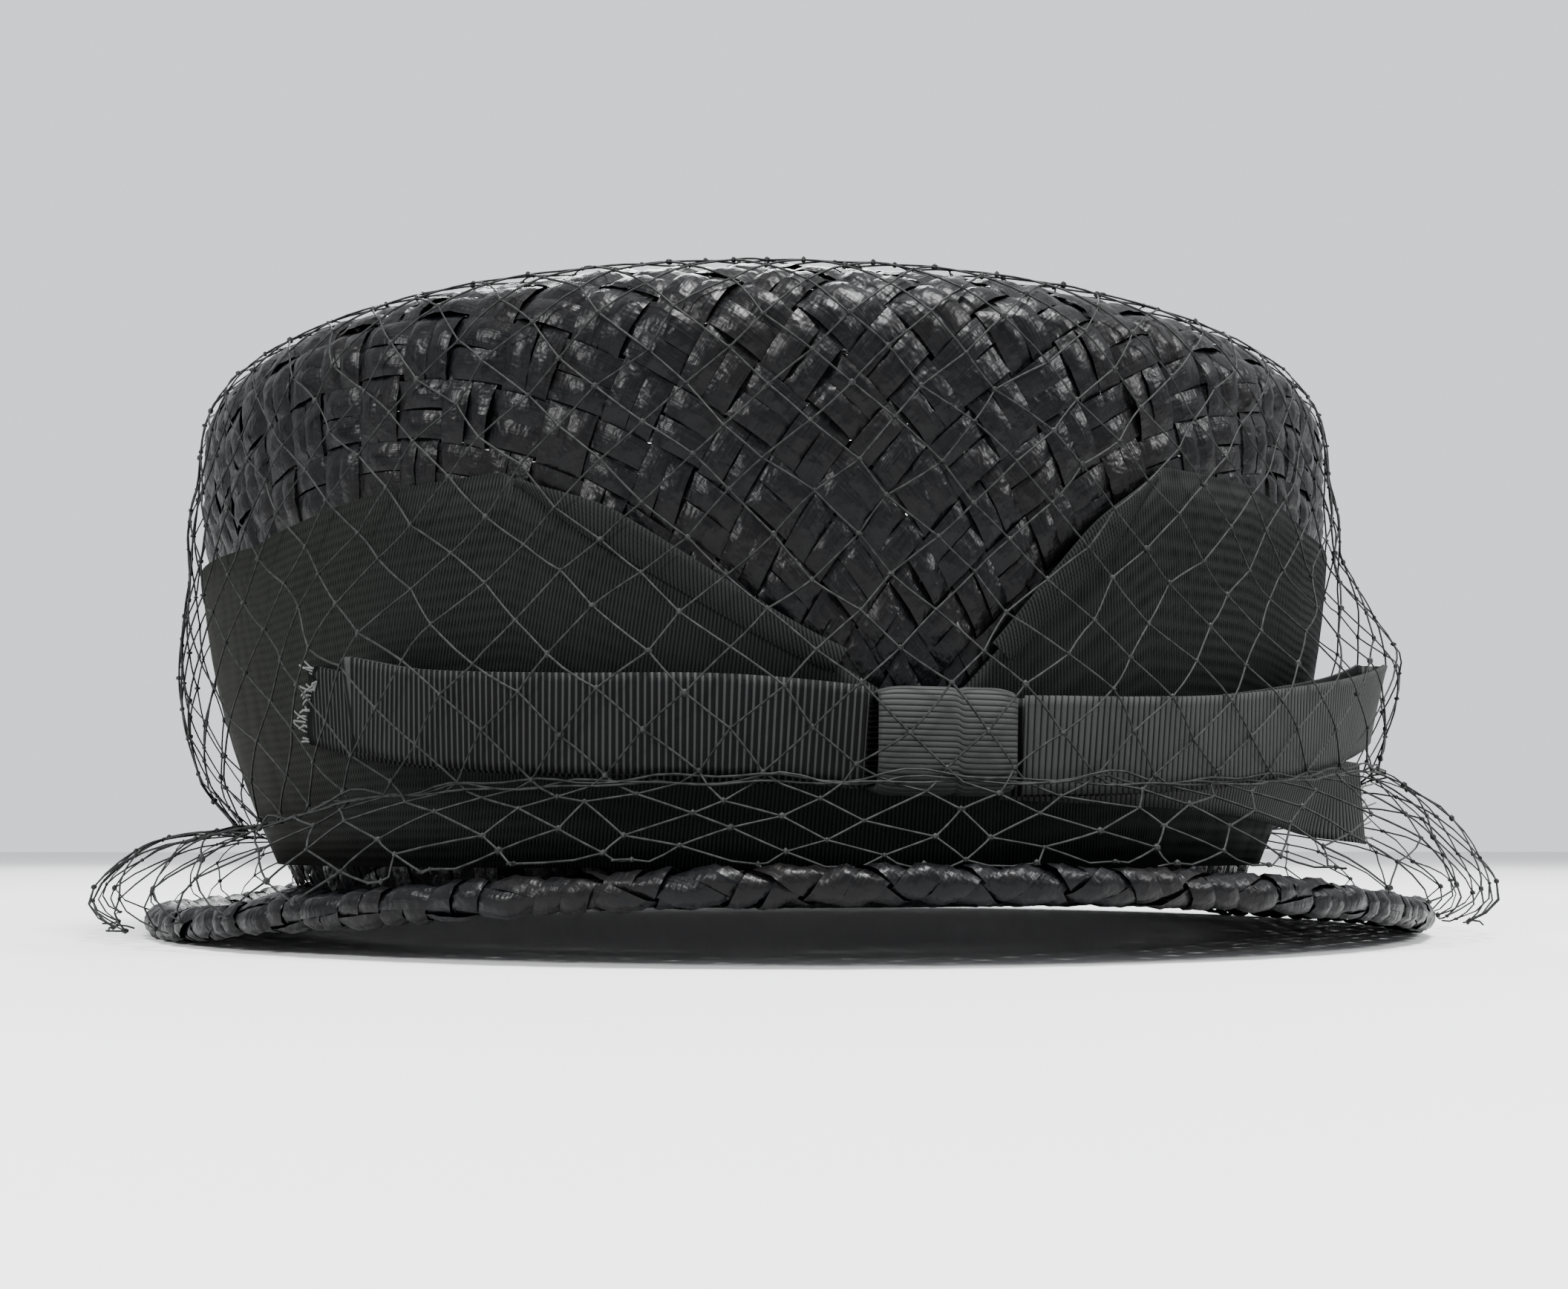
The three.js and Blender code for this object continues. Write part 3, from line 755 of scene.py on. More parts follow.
# ---- ribbons ----
def rib_lift(along, pitch, depth):
    """Rounded ribs with narrow grooves."""
    return depth * (np.abs(np.cos(np.pi * along / pitch)) ** 0.7 - 0.5)


def arc_table(path, low, high, steps=1441):
    """Angles, and the distance run along a path at each."""
    angles = np.linspace(low, high, steps)
    return angles, run_along(path(angles))


BAND_ROWS = 12
BAND_STAND = 0.95  # of the ribbon's middle off the straw
BAND_RIB_STEPS, BOW_RIB_STEPS = 4, 6  # mesh steps along one rib
BAND_RIB_DEPTH, BOW_RIB_DEPTH = 0.2, 0.26
FOLD_WIDTH = 5.6


def band_fold(side_name, path, side):
    """A rolled ribbon edge lying along one side of the V."""
    rib = bpy.context.scene.hat_ribbon.band_rib
    rows = through(path, np.linspace(0, 1, 200))
    line = on_crown(rows[:, 0], rows[:, 1], 1.6)
    run = run_along(line)
    bm, along, across = new_grid(round(run[-1] / rib) * BAND_RIB_STEPS, 8)
    here = along * run[-1]
    out = unit(on_crown(rows[:, 0], rows[:, 1], 5.0) - line)
    sideways = unit(np.cross(out, unit(np.gradient(line, axis=0)))) * side
    slanted = here + 0.5 * across * FOLD_WIDTH
    bulge = 0.5 * np.sin(np.pi * np.clip(across, 0, 1)) ** 0.5
    # The fold grows out of the band's upper edge and narrows toward the knot.
    grown = smooth_step(here / 16)
    lift = bulge + rib_lift(slanted, rib, BAND_RIB_DEPTH) - 0.9 * (1 - grown)
    taper = (1 - 0.35 * along) * (0.25 + 0.75 * grown)
    shift = (across - 0.45) * FOLD_WIDTH * taper + 0.3 * np.sin(here / 9.0)
    places = rows_at(here, run, line) + rows_at(here, run, out) * lift[:, None]
    places = places + rows_at(here, run, sideways) * shift[:, None]
    uv = (slanted, across * FOLD_WIDTH)
    node = f"band_fold_{side_name}"
    return finish_piece(f"{node}_ribbon", bm, places, (node,), "band_ribbon", uv)


class HAT_OT_hat_band(bpy.types.Operator):
    """Wrap the wide ribbed ribbon round the crown, with its V and folded edges"""

    bl_idname = "hat.hat_band"
    bl_label = "Hat band"

    def execute(self, context):
        ribbon = context.scene.hat_ribbon
        angles, lengths = arc_table(lambda a: on_crown(a, 30.0, 1.0), 0, 360)
        total = lengths[-1]
        ribs = round(total / ribbon.band_rib)
        bm, share_along, share_across = new_grid(ribs * BAND_RIB_STEPS, BAND_ROWS)
        angle = np.interp(share_along * total, lengths, angles)
        height = around(BAND_TOP, angle, curved=False) - BAND_BOTTOM
        # The outer rows turn in over the ribbon's edges.
        edge = np.minimum(share_across, 1 - share_across) * BAND_ROWS
        turned_in = np.where(edge < 0.5, -0.7, 0.0)
        inner = np.clip((share_across * BAND_ROWS - 1) / (BAND_ROWS - 2), 0, 1)
        level = BAND_BOTTOM + inner * height
        # Ribs lean away from the V on both sides and straighten toward the back.
        from_v = np.clip((angle + 180) % 360 - 180 - 4, -90, 90)
        lean = 0.55 * np.sin(np.radians(from_v) * 1.2)
        run = share_along * total + lean * (level - BAND_BOTTOM)
        drape = 0.25 * np.sin(np.radians(angle * 5) + level / 11)
        lift = turned_in + rib_lift(run, total / ribs, BAND_RIB_DEPTH) + drape
        places = on_crown(angle, level, BAND_STAND + lift)
        bmesh.ops.recalc_face_normals(bm, faces=bm.faces)
        uv = (run, level)
        piece = finish_piece("band_ribbon", bm, places, ("hat_band",), "band_ribbon", uv)
        folds = [band_fold("left", FOLD_LEFT, 1), band_fold("right", FOLD_RIGHT, -1)]
        return {"FINISHED"}


def ribbon_along(name, node, spots, ups, width, extra, rows=10, finer=1.0):
    """A grosgrain strip swept along spots with the width direction near ups.
    extra(run, share_across, total) returns shifts along the width, outward and onward."""
    ribbon = bpy.context.scene.hat_ribbon
    run = run_along(spots)
    total = run[-1]
    ribs = max(2, round(total / ribbon.bow_rib * finer))
    pitch = total / ribs
    bm, along, across = new_grid(ribs * BOW_RIB_STEPS, rows)
    here = along * total
    direction = unit(np.gradient(spots, axis=0))
    out = unit(np.cross(direction, ups))
    sideways, outward, onward = extra(here, across, total)
    selvedge = 0.10 * (np.abs(across - 0.5) > 0.46)
    lift = rib_lift(here, pitch, BOW_RIB_DEPTH / finer) + selvedge + outward
    places = rows_at(here, run, spots)
    for way, shift in (
        (unit(np.cross(out, direction)), (across - 0.5) * width + sideways),
        (out, lift),
        (direction, onward),
    ):
        places = places + rows_at(here, run, way) * shift[:, None]
    uv = (here / pitch * ribbon.bow_rib, across * width)
    piece = finish_piece(name, bm, places, (node,), "bow_ribbon", uv)
    thicken(piece, ribbon.thickness)
    return piece, total


def way_up(angle, level, stand):
    return unit(on_crown(angle, level + 1, stand) - on_crown(angle, level - 1, stand))


def crown_path(path, count=120):
    """A path over the crown: its rows, its points, and the way up at each."""
    rows = through(path, np.linspace(0, 1, count))
    return rows, on_crown(*rows.T), way_up(*rows.T)


def loop_path(path):
    """Outer sheet, round turn and inner sheet of a bow loop."""
    rows, outer, ups = crown_path(path)
    end_angle, end_level, end_stand = rows[-1]
    heading = np.sign(end_angle - rows[0, 0])
    ends = on_crown(end_angle + np.array([0, 1]), end_level, 8.0)
    step = np.linalg.norm(ends[1] - ends[0])  # millimetres to a degree
    turn = np.radians(np.arange(10, 180, 10))
    radius = LOOP_OPENING / 2
    angles = end_angle + heading * radius * np.sin(turn) / step
    stands = end_stand - radius * (1 - np.cos(turn))
    bend = (angles, np.full_like(angles, end_level), stands)
    inner = on_crown(*(rows[::-1] - (0, 0, LOOP_OPENING)).T)
    spots = np.concatenate([outer, on_crown(*bend), inner])
    return spots, np.concatenate([ups, way_up(*bend), ups[::-1]])


# How each length of the bow ribbon is bent and cut: run and total are distances along
# it and across is the share of its width. They return shifts along the width, outward
# and onward, in millimetres.
def left_wave(run, across, total):
    return 0.6 * np.sin(run / 16.0), 0.45 * np.sin(run / 11.0) * (across - 0.2), 0 * run


def right_wave(run, across, total):
    return 0.3 * np.sin(run / 19.0), 0.5 * np.sin(run / 14.0 + 0.8) * (across - 0.5), 0 * run


def left_cut(run, across, total):
    """Cut on a slight slant and frayed: threads differ in length."""
    teeth = np.random.default_rng(5).uniform(-1.3, 0.6, 11)
    teeth = teeth[np.clip((across * 10).astype(int), 0, 10)]
    near_end = smooth_step((run - total + 4) / 4)
    slant = 7.0 * np.maximum(across - 0.35, 0) + 4.0 * np.maximum(0.35 - across, 0)
    return 0 * run, 0.25 * np.sin(run / 6.0), near_end * (teeth - slant - 1.0)


def right_cut(run, across, total):
    near_end = smooth_step((run - total + 16) / 16)
    return 0 * run, 0.3 * np.sin(run / 8.0) * (across - 0.5), near_end * 9.0 * (0.5 - across)


def knot_crease(run, across, total):
    """A crease off the wrap's middle, where one half slips past the other."""
    crease = 0.58
    valley = -0.35 * np.exp(-(((across - crease) / 0.03) ** 2))
    round_side = -0.9 * np.abs(2 * across - 1) ** 9
    return 0.12 * np.sin(run / 3.0), valley + round_side, 0.25 * np.tanh((across - crease) * 40)


def frayed_threads(node, spots, ups, cut, width, seed, count):
    """Loose warp threads that stand out of a cut end."""
    rng = np.random.default_rng(seed)
    end = spots[-1]
    way = unit(end - spots[-4])
    out = unit(np.cross(way, ups[-1]))
    wide = unit(np.cross(out, way))
    outward = out if np.dot(out, end * (1, 1, 0)) > 0 else -out
    total = np.array([100.0])  # any length: a cut is read at its very end
    strips = []
    for _ in range(count):
        across = rng.uniform(0.02, 0.98)
        shift = cut(total, np.array([across]), total)[2][0]
        root = end + wide * (across - 0.5) * width + way * (shift - 0.6)
        strips.append((root, rng.uniform(1.2, 3.8), rng.normal(0, 0.35, 2)))

    def place(strip, share, side):
        root, length, bend = strip
        bent = length * share**2
        arch = 0.10 * math.sin(math.pi * side)
        spot = root + way * length * share + wide * (bend[0] * bent + (side - 0.5) * 0.22)
        return spot + outward * (bend[1] * bent * 0.6 + arch)

    grids = small_strips(strips, 4, 2, place)
    thicken(finish_piece(f"{node}_threads", *grids, (), "bow_ribbon", cloth="frayed"), 0.16)


def bow_tail(node, path, cut, width, seed, frayed):
    _, spots, ups = crown_path(path)
    piece, total = ribbon_along(f"{node}_ribbon", node, spots, ups, width, cut)
    frayed_threads(node, spots, ups, cut, width, seed, frayed)


def bow_knot():
    """The wrap: a wide fold of ribbon round the middle, creased off centre."""
    angle, level, width = 3.6, 20.4, 18.6
    half_high, near, far = 6.7, 1.9, 8.3
    squareness = 0.55
    turn = np.linspace(0, 2 * np.pi, 160)
    up = half_high * flattened_wave(np.sin(turn), squareness)
    depth = (far + near) / 2 - (far - near) / 2 * flattened_wave(np.cos(turn), squareness)
    spots = on_crown(np.full(len(turn), angle), level + up, depth)
    sideways = unit(on_crown(angle + 1, level, 5.0) - on_crown(angle - 1, level, 5.0))
    ups = np.tile(sideways, (len(turn), 1))
    piece, total = ribbon_along(
        "bow_knot_wrap", "bow_knot", spots, ups, width, knot_crease, rows=40, finer=1.25
    )


class HAT_OT_bow(bpy.types.Operator):
    """Fold the flat bow: two loops, two cut ends and the wrap across the middle"""

    bl_idname = "hat.bow"
    bl_label = "Bow"

    def execute(self, context):
        width = context.scene.hat_ribbon.bow_width
        for side, path, wave in (("left", LOOP_LEFT, left_wave), ("right", LOOP_RIGHT, right_wave)):
            node = f"bow_loop_{side}"
            piece, total = ribbon_along(f"{node}_ribbon", node, *loop_path(path), width, wave)
        # The left end is drawn a little narrower and frays more.
        bow_tail("bow_tail_left", TAIL_LEFT, left_cut, width - 1.0, 21, 26)
        bow_tail("bow_tail_right", TAIL_RIGHT, right_cut, width, 22, 14)
        bow_knot()
        return {"FINISHED"}


# ---- inside the head opening ----
STITCH_LEVEL = 2.2  # of the running stitch over the head line
STITCH_SPACING = 4.4
STITCH_LENGTH = 3.0
LABEL_WIDTH, LABEL_HEIGHT = 37.0, 13.0
LABEL_ANGLE, LABEL_LEVEL = 164.0, 8.0
LABEL_STAND = 0.75  # off the sweatband's middle


def sweatband_radius(level):
    share = np.clip(np.asarray(level, float) / SWEATBAND_HEIGHT, 0, None)
    return STRAW_INSIDE - 0.8 + SWEATBAND_LEAN * share**1.5


def label_angle(side):
    """Angle at a distance, in millimetres, from the label's middle."""
    ends = head_oval(np.array([0, 1]) + LABEL_ANGLE, 80.0, 8.0)
    return LABEL_ANGLE + side / np.linalg.norm(ends[1] - ends[0])


def sweatband():
    angles, lengths = arc_table(lambda a: head_oval(a, 81.0, 10.0), -181.5, 181.5)
    total = lengths[-1]
    bm, along, across = new_grid(round(total / SWEATBAND_RIB) * 3, 12)
    run = along * total
    angle = np.interp(run, lengths, angles)
    level = SWEATBAND_FOOT + 0.2 + across * (SWEATBAND_HEIGHT - 0.4)
    # The two ends overlap by a few millimetres at centre back.
    lap = -0.55 * smooth_step((angle - 177.5) / 1.0)
    wave = 0.35 * np.sin(np.radians(angle) * 9) * across**2
    pulled = 0.18 * np.exp(-(((level - STITCH_LEVEL) / 0.5) ** 2))
    lift = rib_lift(run, SWEATBAND_RIB, 0.07) + lap + wave + pulled
    places = head_oval(angle, sweatband_radius(level) + lift, level)
    uv = (run, level)
    piece = finish_piece("sweatband_ribbon", bm, places, ("sweatband",), "sweatband", uv)
    thicken(piece, 0.5)


def arched(share, side, along, across):
    """Height of a stitch that is rounded along and across."""
    return along * math.sin(math.pi * share) + across * math.sin(math.pi * side)


def sweatband_stitches():
    """A running stitch just above the lower edge."""
    angles, lengths = arc_table(lambda a: head_oval(a, 80.0, 2.0), -180, 180)
    total = lengths[-1]
    rng = np.random.default_rng(3)
    count = round(total / STITCH_SPACING)
    strips = [(k / count * total, STITCH_LEVEL + rng.normal(0, 0.12)) for k in range(count)]

    def place(strip, share, side):
        start, level = strip
        angle = np.interp(start + share * STITCH_LENGTH, lengths, angles)
        radius = sweatband_radius(level) - 0.32 - arched(share, side, 0.32, 0.14)
        return head_oval(angle, radius, level + (side - 0.5) * 0.45)

    grids = small_strips(strips, 6, 3, place)
    thicken(finish_piece("sweatband_stitches", *grids, (), "sweatband", cloth="net"), 0.16)


def label_cloth():
    """A bare cream label."""
    bm, along, across = new_grid(74, 26)
    bow = 0.25 * np.sin(np.pi * along) - 0.15
    side = (along - 0.5) * (LABEL_WIDTH - 0.25 * np.sin(np.pi * across))
    here = LABEL_LEVEL + (across - 0.5) * (LABEL_HEIGHT - 0.3 * np.sin(np.pi * along)) + bow
    buckle = 0.11 * np.sin(along * 9 + 1.0) * np.sin(np.pi * across)
    from_ends = np.minimum(along, 1 - along) * LABEL_WIDTH
    from_sides = np.minimum(across, 1 - across) * LABEL_HEIGHT
    hem = 0.28 * np.clip(np.minimum(from_ends, from_sides) / 0.8, 0, 1)
    radius = sweatband_radius(here) - LABEL_STAND - hem - buckle
    places = head_oval(label_angle(side), radius, here)
    piece = finish_piece("label_cloth", bm, places, ("label",), "label", (side, here))
    thicken(piece, 0.3)


def label_stitches():
    """Six small stitches at each end of the label."""

    def place(strip, share, side):
        end, k = strip
        off = end * (LABEL_WIDTH / 2 - 1.0 + 2.0 * share)
        level = LABEL_LEVEL + (k - 2.5) * 2.1 + (side - 0.5) * 0.35 + 0.5 * share
        radius = sweatband_radius(level) - LABEL_STAND - 0.2 - arched(share, side, 0.28, 0.1)
        return head_oval(label_angle(off), radius, level)

    grids = small_strips([(end, k) for end in (-1, 1) for k in range(6)], 5, 3, place)
    thicken(finish_piece("label_stitches", *grids, (), "label"), 0.12)


class HAT_OT_sweatband(bpy.types.Operator):
    """Make the sweatband with its lap seam and stitches, and the bare label"""

    bl_idname = "hat.sweatband"
    bl_label = "Sweatband and label"

    def execute(self, context):
        sweatband()
        sweatband_stitches()
        label_cloth()
        label_stitches()
        return {"FINISHED"}


# ---- veil ----
NET_ON_STRAW = 1.6  # net's middle over the cloth's middle, resting on the strands
NET_ON_BRIM = 1.8  # the same on the brim
SHOULDER = 70  # level below which the net stands away from the crown
PROFILE_STEP = 3  # degrees between the profiles that the net's form is read from
FIRST_ROW = 9.0  # distance of the first row of knots from the tip's middle
KNOT_WANDER = 0.45  # spread of a knot's place, in degrees and in millimetres
THREAD_SAG = 0.4  # spread of a thread's bow between two knots


def veil_wall(angle):
    """Radius and level of the net from the tip's middle down to its drawn waist."""
    bow = around(VEIL_OVER_BOW, angle) - 1.1
    bow_top = around(VEIL_TOUCHES, angle)
    puff = around(VEIL_PUFF, angle)
    waist = around(WAIST_STAND, angle)
    waist_level = around(WAIST_LEVEL, angle)
    rows = []
    for distance in np.linspace(0, 107, 40):
        radius, level, out, up = crown_at_distance(distance)
        stand = NET_ON_STRAW + 0.1 * smooth_step(distance / 100)
        rows.append((radius + stand * out, level + stand * up))
    for level in np.arange(68.0, waist_level + 2, -3.0):
        ribbon = 0.7 + 2.1 * smooth_step((SHOULDER - level) / 10)
        over_bow = bow * np.clip((bow_top + 24 - level) / 24, 0, 1) ** 1.2
        puffed = puff * smooth_step((SHOULDER - level) / 45)
        stand = max(ribbon, over_bow, puffed)
        stand += (waist - stand) * smooth_step((waist_level + 9 - level) / 9)
        radius, out = crown_at_level(level)
        rows.append((radius + (STRAW / 2 + stand) / out, level))
    radius, out = crown_at_level(waist_level)
    rows.append((radius + (STRAW / 2 + waist) / out, waist_level))
    return np.array(rows, float)


def veil_skirt(angle, start):
    """Radius and level of the net from its waist out over the brim."""
    beyond = around(VEIL_BEYOND, angle)
    pouf = around(VEIL_POUF, angle)
    hem = hem_radius_at(angle)
    end = hem + HEM_THICKNESS / 2 + beyond
    past = smooth_step((beyond + 2) / 6)
    on_brim = brim_surface(angle, min(end, hem)) + NET_ON_BRIM
    level = on_brim * (1 - past) + (hem_level(angle) + 1.6) * past
    radius, top = start
    points = [(radius, top)]
    for share, drop, rise in ((0.3, 0.25, 3.0), (0.65, 0.55, 4.5), (0.95, 0.85, 2.6)):
        points.append((radius + share * (end - radius), top - drop * (top - level) + rise * pouf))
    points.append((end, level + 0.4 * pouf))
    points.append((end + 1.5 - past * (1.5 + 0.45 * beyond), level + 0.2 - 2.6 * past))
    return through(points, np.linspace(0, 1, 30))


def even_steps(path, count):
    """The path in even steps, and its length."""
    run = run_along(path)
    return rows_at(np.linspace(0, run[-1], count), run, path), run[-1]


class VeilForm:
    """Reads the net's form: angle round the hat, and share of the way from tip to hem."""

    def __init__(self):
        walls, skirts, lengths = [], [], []
        for angle in np.arange(0, 360, PROFILE_STEP):
            wall = veil_wall(angle)
            wall_path, wall_length = even_steps(wall, 200)
            skirt_path, skirt_length = even_steps(veil_skirt(angle, wall[-1]), 60)
            walls.append(wall_path)
            skirts.append(skirt_path)
            lengths.append((wall_length, skirt_length))
        self.wall, self.skirt = np.array(walls), np.array(skirts)
        self.wall_length, skirt_length = np.mean(lengths, axis=0)
        self.length = self.wall_length + skirt_length
        self.waist = self.wall_length / self.length

    def read(self, table, turn, share):
        """Radius and level between the nearest two profiles and two steps of a table."""
        low = np.floor(turn).astype(int)
        part = (turn - low)[..., None]
        row = np.clip(share, 0, 1) * (table.shape[1] - 1)
        step = np.minimum(row.astype(int), table.shape[1] - 2)
        rest = (row - step)[..., None]
        near, far = (
            table[side % len(table), step] * (1 - rest)
            + table[side % len(table), step + 1] * rest
            for side in (low, low + 1)
        )
        return near * (1 - part) + far * part

    def place(self, angle, share):
        """Points for flat arrays of angles and shares."""
        turn = np.mod(angle, 360) / PROFILE_STEP
        below = (share - self.waist) / (1 - self.waist)
        on_wall = self.read(self.wall, turn, share / self.waist)
        on_skirt = self.read(self.skirt, turn, below)
        spot = np.where((share <= self.waist)[:, None], on_wall, on_skirt)
        # Below the waist the net falls in small flutes.
        flute = np.sin(np.radians(angle * 19)) + 0.6 * np.sin(np.radians(angle * 31) + 2)
        depth = 0.7 * smooth_step(below * 2) * around(VEIL_POUF, angle)
        return oval(angle, spot[:, 0] + depth * flute, spot[:, 1])

    def net_points(self, angle, share, lift):
        """Points of the net, lifted off its form by millimetres."""
        spots = self.place(angle.ravel(), share.ravel())
        outward = unit(spots * (1, 1, 0)) * 0.7 + np.array([0, 0, 0.7])
        return spots + outward * lift.ravel()[:, None]


def new_curve(name, thickness, resolution=0):
    curve = bpy.data.curves.new(name, "CURVE")
    curve.dimensions = "3D"
    curve.bevel_depth = thickness / 2 * MM
    curve.bevel_resolution = resolution
    return curve


def add_run(curve, spots, cyclic=False):
    spline = curve.splines.new("POLY")
    spline.points.add(len(spots) - 1)
    four = np.ones((len(spots), 4))
    four[:, :3] = (spots + OPENING) * MM
    spline.points.foreach_set("co", four.ravel())
    spline.use_cyclic_u = cyclic


def curve_piece(name, curve, nodes):
    """Turns round threads drawn as curves into a mesh piece."""
    carrier = bpy.data.objects.new(name + "_curve", curve)
    bpy.context.scene.collection.objects.link(carrier)
    bpy.context.view_layer.update()
    graph = bpy.context.evaluated_depsgraph_get()
    mesh = bpy.data.meshes.new_from_object(carrier.evaluated_get(graph))
    bpy.data.objects.remove(carrier)
    bpy.data.curves.remove(curve)
    mesh.name = name
    mesh.materials.clear()
    mesh.materials.append(material("net"))
    mesh.polygons.foreach_set("use_smooth", [True] * len(mesh.polygons))
    add_piece(name, mesh, nodes, "net")


def net_rows(net, form):
    """Rows of knots down the net: a thread keeps its length, so cells that are
    drawn together grow taller and cells that are spread grow shorter."""
    steps = np.linspace(0, 1, 300)
    on_wall = np.linspace(0, form.wall_length, form.wall.shape[1])
    radii = np.interp(steps * form.length, on_wall, form.wall[..., 0].mean(axis=0))
    rows = [FIRST_ROW]
    while rows[-1] < form.length:
        half_width = math.pi * np.interp(rows[-1] / form.length, steps, radii) / net.columns
        rows.append(rows[-1] + math.sqrt(max(net.side**2 - half_width**2, 9.0)))
    return np.array(rows) / rows[-1]


def net_threads(net, form, angle, share, lift, rng):
    """A thread from every knot to the two below it, and loose ends at the hem."""
    curve = new_curve("veil_net", net.thread)
    columns = np.arange(net.columns)
    way = np.array([0, 1 / 3, 2 / 3, 1])
    for row in range(len(angle) - 1):
        for lead in (0, 1):
            below = (columns + row % 2 - 1 + lead) % net.columns
            turn = (angle[row + 1, below] - angle[row] + 180) % 360 - 180
            sag = rng.normal(0, THREAD_SAG, net.columns)[:, None] * np.sin(np.pi * way)
            angles = angle[row][:, None] + turn[:, None] * way
            drop = (share[row + 1, below] - share[row])[:, None]
            shares = share[row][:, None] + drop * way + 0.5 * sag / form.length
            rise = lift[row][:, None] * (1 - way) + lift[row + 1, below][:, None] * way
            spots = form.net_points(angles, shares, rise + 0.2 * sag)
            for run in spots.reshape(net.columns, len(way), 3):
                add_run(curve, run)
    for spot in form.net_points(angle[-1], share[-1], lift[-1]):
        if rng.random() < 0.75:
            out = unit(spot * (1, 1, 0))
            heading = out * rng.uniform(-0.3, 0.7) + rng.normal(0, 0.4, 3) * (1, 1, 0.2)
            reach = rng.uniform(1.2, 3.2)
            bent = spot + unit(heading) * reach
            bent[2] = max(bent[2] - reach * 0.2, REST_LEVEL - 1.9)
            middle = (spot + bent) / 2 + rng.normal(0, 0.2, 3)
            add_run(curve, np.array([spot, middle, bent]))
    curve_piece("veil_net", curve, ("veil",))


def net_knots(net, spots, rng):
    """Small tufted knots where the threads meet."""
    bm = bmesh.new()
    for spot in spots:
        radius = net.thread * MM * rng.uniform(1.1, 1.6)
        made = bmesh.ops.create_icosphere(bm, subdivisions=1, radius=radius)
        bmesh.ops.scale(bm, verts=made["verts"], vec=rng.uniform(0.7, 1.35, 3))
        bmesh.ops.translate(bm, verts=made["verts"], vec=(spot + OPENING) * MM)
    add_piece("veil_knots", new_mesh("veil_knots", bm, "net"), (), "net")


def net_gathering(net, form, first_row, rng):
    """The draw threads above the brim, and the ring at the tip."""
    curve = new_curve("veil_gather", net.thread * 1.1, 1)
    angles = np.arange(0, 360, 1.5)
    for strand in range(3):
        phase = rng.uniform(0, 6.28, 2)
        wobble = np.sin(np.radians(angles * (23 + 5 * strand)) + phase[0])
        wobble = wobble + 0.8 * np.sin(np.radians(angles * (41 + 3 * strand)) + phase[1])
        share = form.waist + (0.55 * wobble + (strand - 1) * 0.6) / form.length
        lift = 0.25 * np.cos(np.radians(angles * (29 + 2 * strand)) + phase[1]) + 0.3
        add_run(curve, form.net_points(angles, share, lift), cyclic=True)
    angles = np.arange(0, 360, 8.0)
    for turn in range(3):
        share = first_row * (1 - 0.05 * np.sin(np.radians(angles * (5 + turn)) + turn))
        lift = np.full_like(angles, 0.2 * turn)
        add_run(curve, form.net_points(angles, share, lift), cyclic=True)
    curve_piece("veil_gather", curve, ())


class HAT_OT_veil(bpy.types.Operator):
    """Knot the veil: a diamond net drawn together at the tip and above the brim"""

    bl_idname = "hat.veil"
    bl_label = "Veil"

    def execute(self, context):
        net = context.scene.hat_net
        rng = np.random.default_rng(net.seed)
        form = VeilForm()
        rows = net_rows(net, form)
        grid = (len(rows), net.columns)
        # Below the waist the knots wander and lift more than on the crown.
        skirt = rows > form.waist
        loose = np.where(skirt, 2.2, 1.0)[:, None]
        loose[0] = 0.2
        odd = (np.arange(len(rows)) % 2)[:, None]
        angle = (np.arange(net.columns) + 0.5 * odd) * 360 / net.columns
        angle = angle + rng.normal(0, KNOT_WANDER, grid) * loose
        share = rows[:, None] + rng.normal(0, KNOT_WANDER, grid) * loose / form.length
        share = np.clip(share, 0.02, 1)
        lift = rng.uniform(-0.1, 0.9, grid) * np.where(skirt, 1, 0.12)[:, None]
        net_threads(net, form, angle, share, lift, rng)
        net_knots(net, form.net_points(angle, share, lift), rng)
        net_gathering(net, form, rows[0], rng)
        return {"FINISHED"}


# ---- stage ----
def aim_at(scene, thing, spot, target):
    """Places a light or camera and points it at a target."""
    thing.location = spot
    way = Vector(target) - Vector(spot)
    thing.rotation_euler = way.to_track_quat("-Z", "Y").to_euler()
    scene.collection.objects.link(thing)


def stage_floor():
    bm = bmesh.new()
    bmesh.ops.create_grid(bm, x_segments=8, y_segments=8, size=9.0)
    floor = bpy.data.objects.new("floor", new_mesh("floor", bm, "floor"))
    bpy.context.scene.collection.objects.link(floor)


def stage_lights(scene):
    world = bpy.data.worlds.new("soft_room")
    world.use_nodes = True
    background = world.node_tree.nodes["Background"]
    background.inputs[0].default_value = linear("#F4F6FA")
    background.inputs[1].default_value = 1.3
    scene.world = world
    for name, spot, aim_height, side, power in (
        ("softbox_above", (0.12, -0.35, 1.05), 0.05, 0.28, 34),
        ("softbox_left", (-0.95, -0.75, 0.75), 0.05, 0.3, 20),
        ("softbox_right", (0.95, -0.5, 0.8), 0.05, 0.3, 15),
        ("softbox_behind", (0.1, 1.0, 0.8), 0.06, 0.4, 14),
    ):
        light = bpy.data.lights.new(name, "AREA")
        light.size = side
        light.energy = power
        aim_at(scene, bpy.data.objects.new(name, light), spot, (0, 0, aim_height))


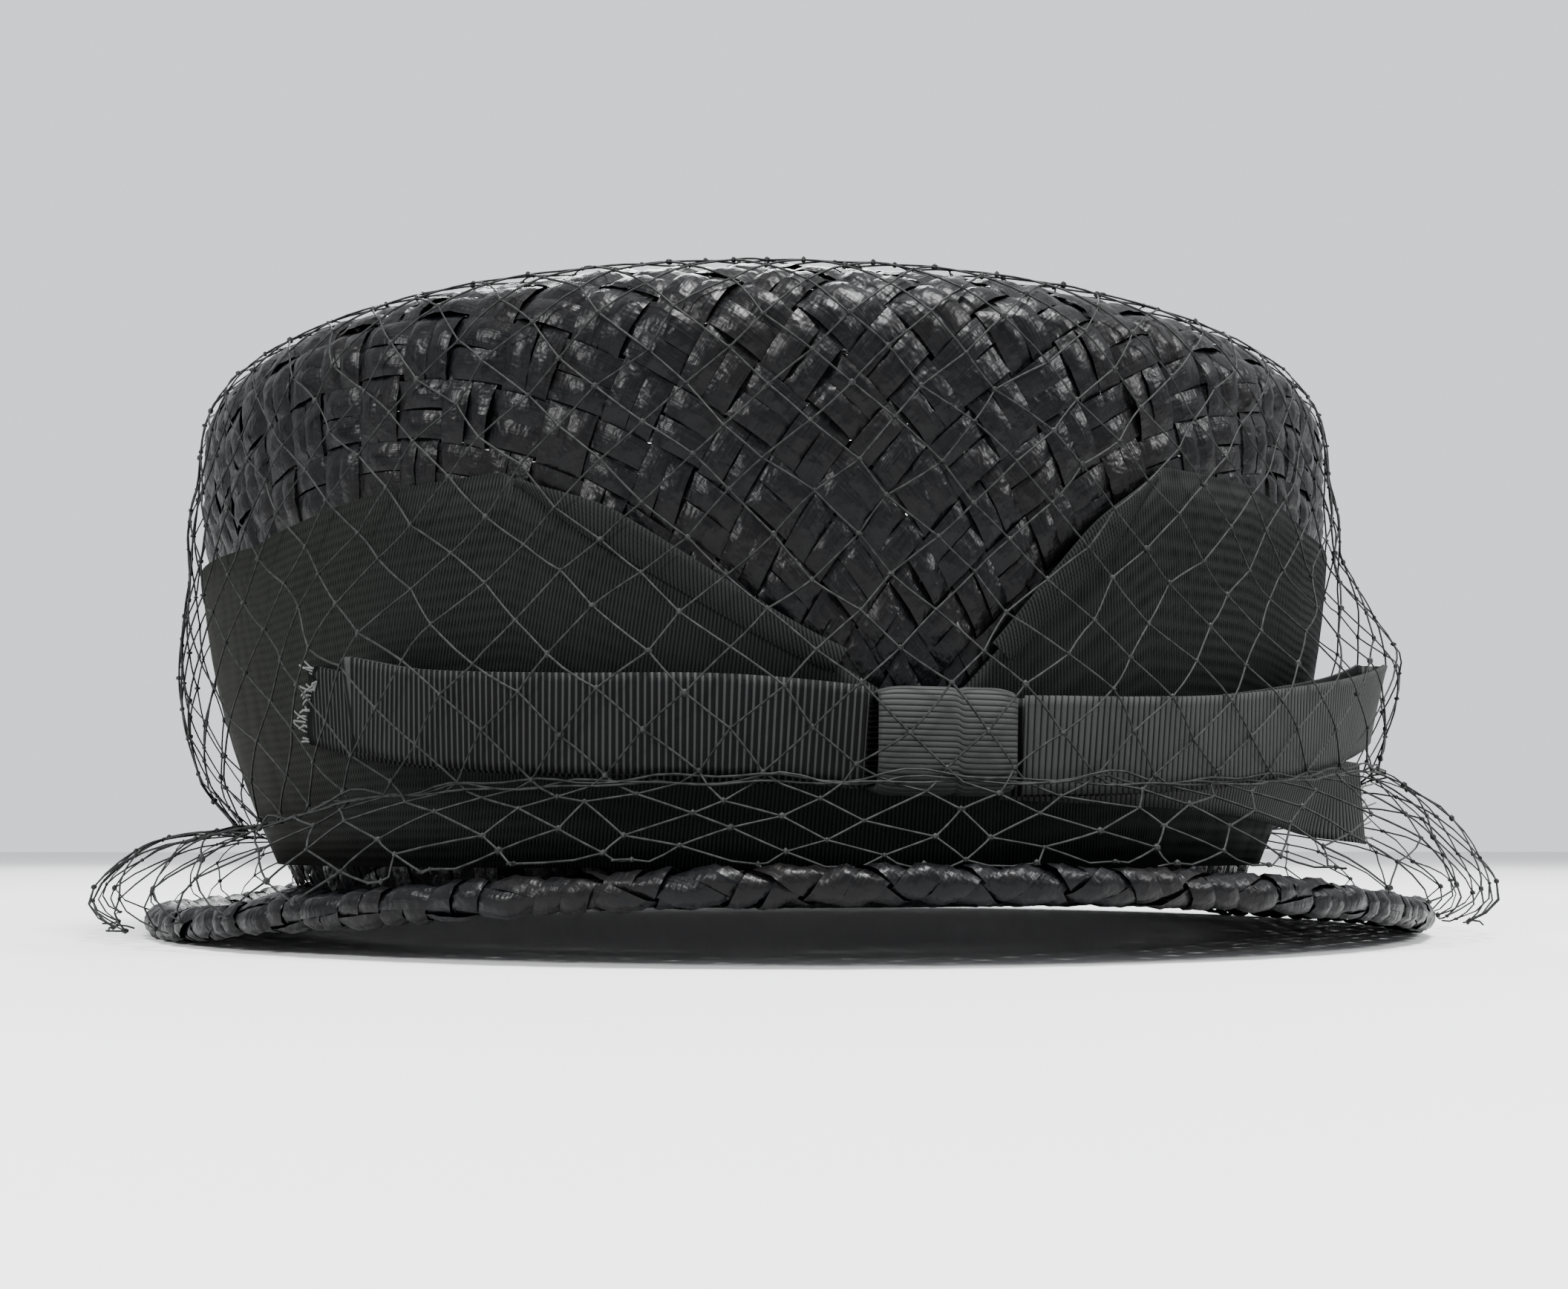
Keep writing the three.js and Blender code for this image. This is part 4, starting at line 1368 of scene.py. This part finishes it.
def stage_camera(scene):
    """Close to the hat, turned ten degrees, as low as the floor allows."""
    turn, distance, height = math.radians(-10), 0.338, 0.014
    data = bpy.data.cameras.new("camera")
    data.sensor_width = 36
    data.lens = 41.8
    data.clip_start = 0.01
    camera = bpy.data.objects.new("camera", data)
    eye = (math.sin(turn) * distance, -math.cos(turn) * distance, height)
    aim_at(scene, camera, eye, (0.0, 0.0, 0.052))
    scene.camera = camera


class HAT_OT_stage(bpy.types.Operator):
    """Set the floor, the soft lights and the camera"""

    bl_idname = "hat.stage"
    bl_label = "Stage"

    def execute(self, context):
        stage_floor()
        stage_lights(context.scene)
        stage_camera(context.scene)
        return {"FINISHED"}


# ---- add-on ----
class HAT_PT_panel(bpy.types.Panel):
    """Lists the hat's sizes, colours and makers in the sidebar"""

    bl_idname = "HAT_PT_panel"
    bl_label = "Straw hat"
    bl_space_type = "VIEW_3D"
    bl_region_type = "UI"
    bl_category = "Hat"

    def draw(self, context):
        for group_name in GROUPS:
            group = getattr(context.scene, group_name)
            box = self.layout.box()
            for name in group.bl_rna.properties.keys():
                if name not in {"rna_type", "name"}:
                    box.prop(group, name)
        for operator in OPERATORS:
            self.layout.operator(operator.bl_idname)


GROUPS = {
    "hat_straw": HatStraw,
    "hat_ribbon": HatRibbon,
    "hat_net": HatNet,
    "hat_colours": HatColours,
}
OPERATORS = (
    HAT_OT_stage,
    HAT_OT_straw_crown,
    HAT_OT_straw_brim,
    HAT_OT_hat_band,
    HAT_OT_bow,
    HAT_OT_sweatband,
    HAT_OT_veil,
)
CLASSES = (*GROUPS.values(), *OPERATORS, HAT_PT_panel)


def register():
    for made in CLASSES:
        bpy.utils.register_class(made)
    for name, group in GROUPS.items():
        setattr(bpy.types.Scene, name, bpy.props.PointerProperty(type=group))


def unregister():
    for name in GROUPS:
        delattr(bpy.types.Scene, name)
    for made in reversed(CLASSES):
        bpy.utils.unregister_class(made)


def main():
    register()
    bpy.ops.hat.stage()
    bpy.ops.hat.straw_crown()
    bpy.ops.hat.straw_brim()
    bpy.ops.hat.hat_band()
    bpy.ops.hat.bow()
    bpy.ops.hat.sweatband()
    bpy.ops.hat.veil()
    bpy.context.view_layer.update()


if __name__ == "__main__":
    main()
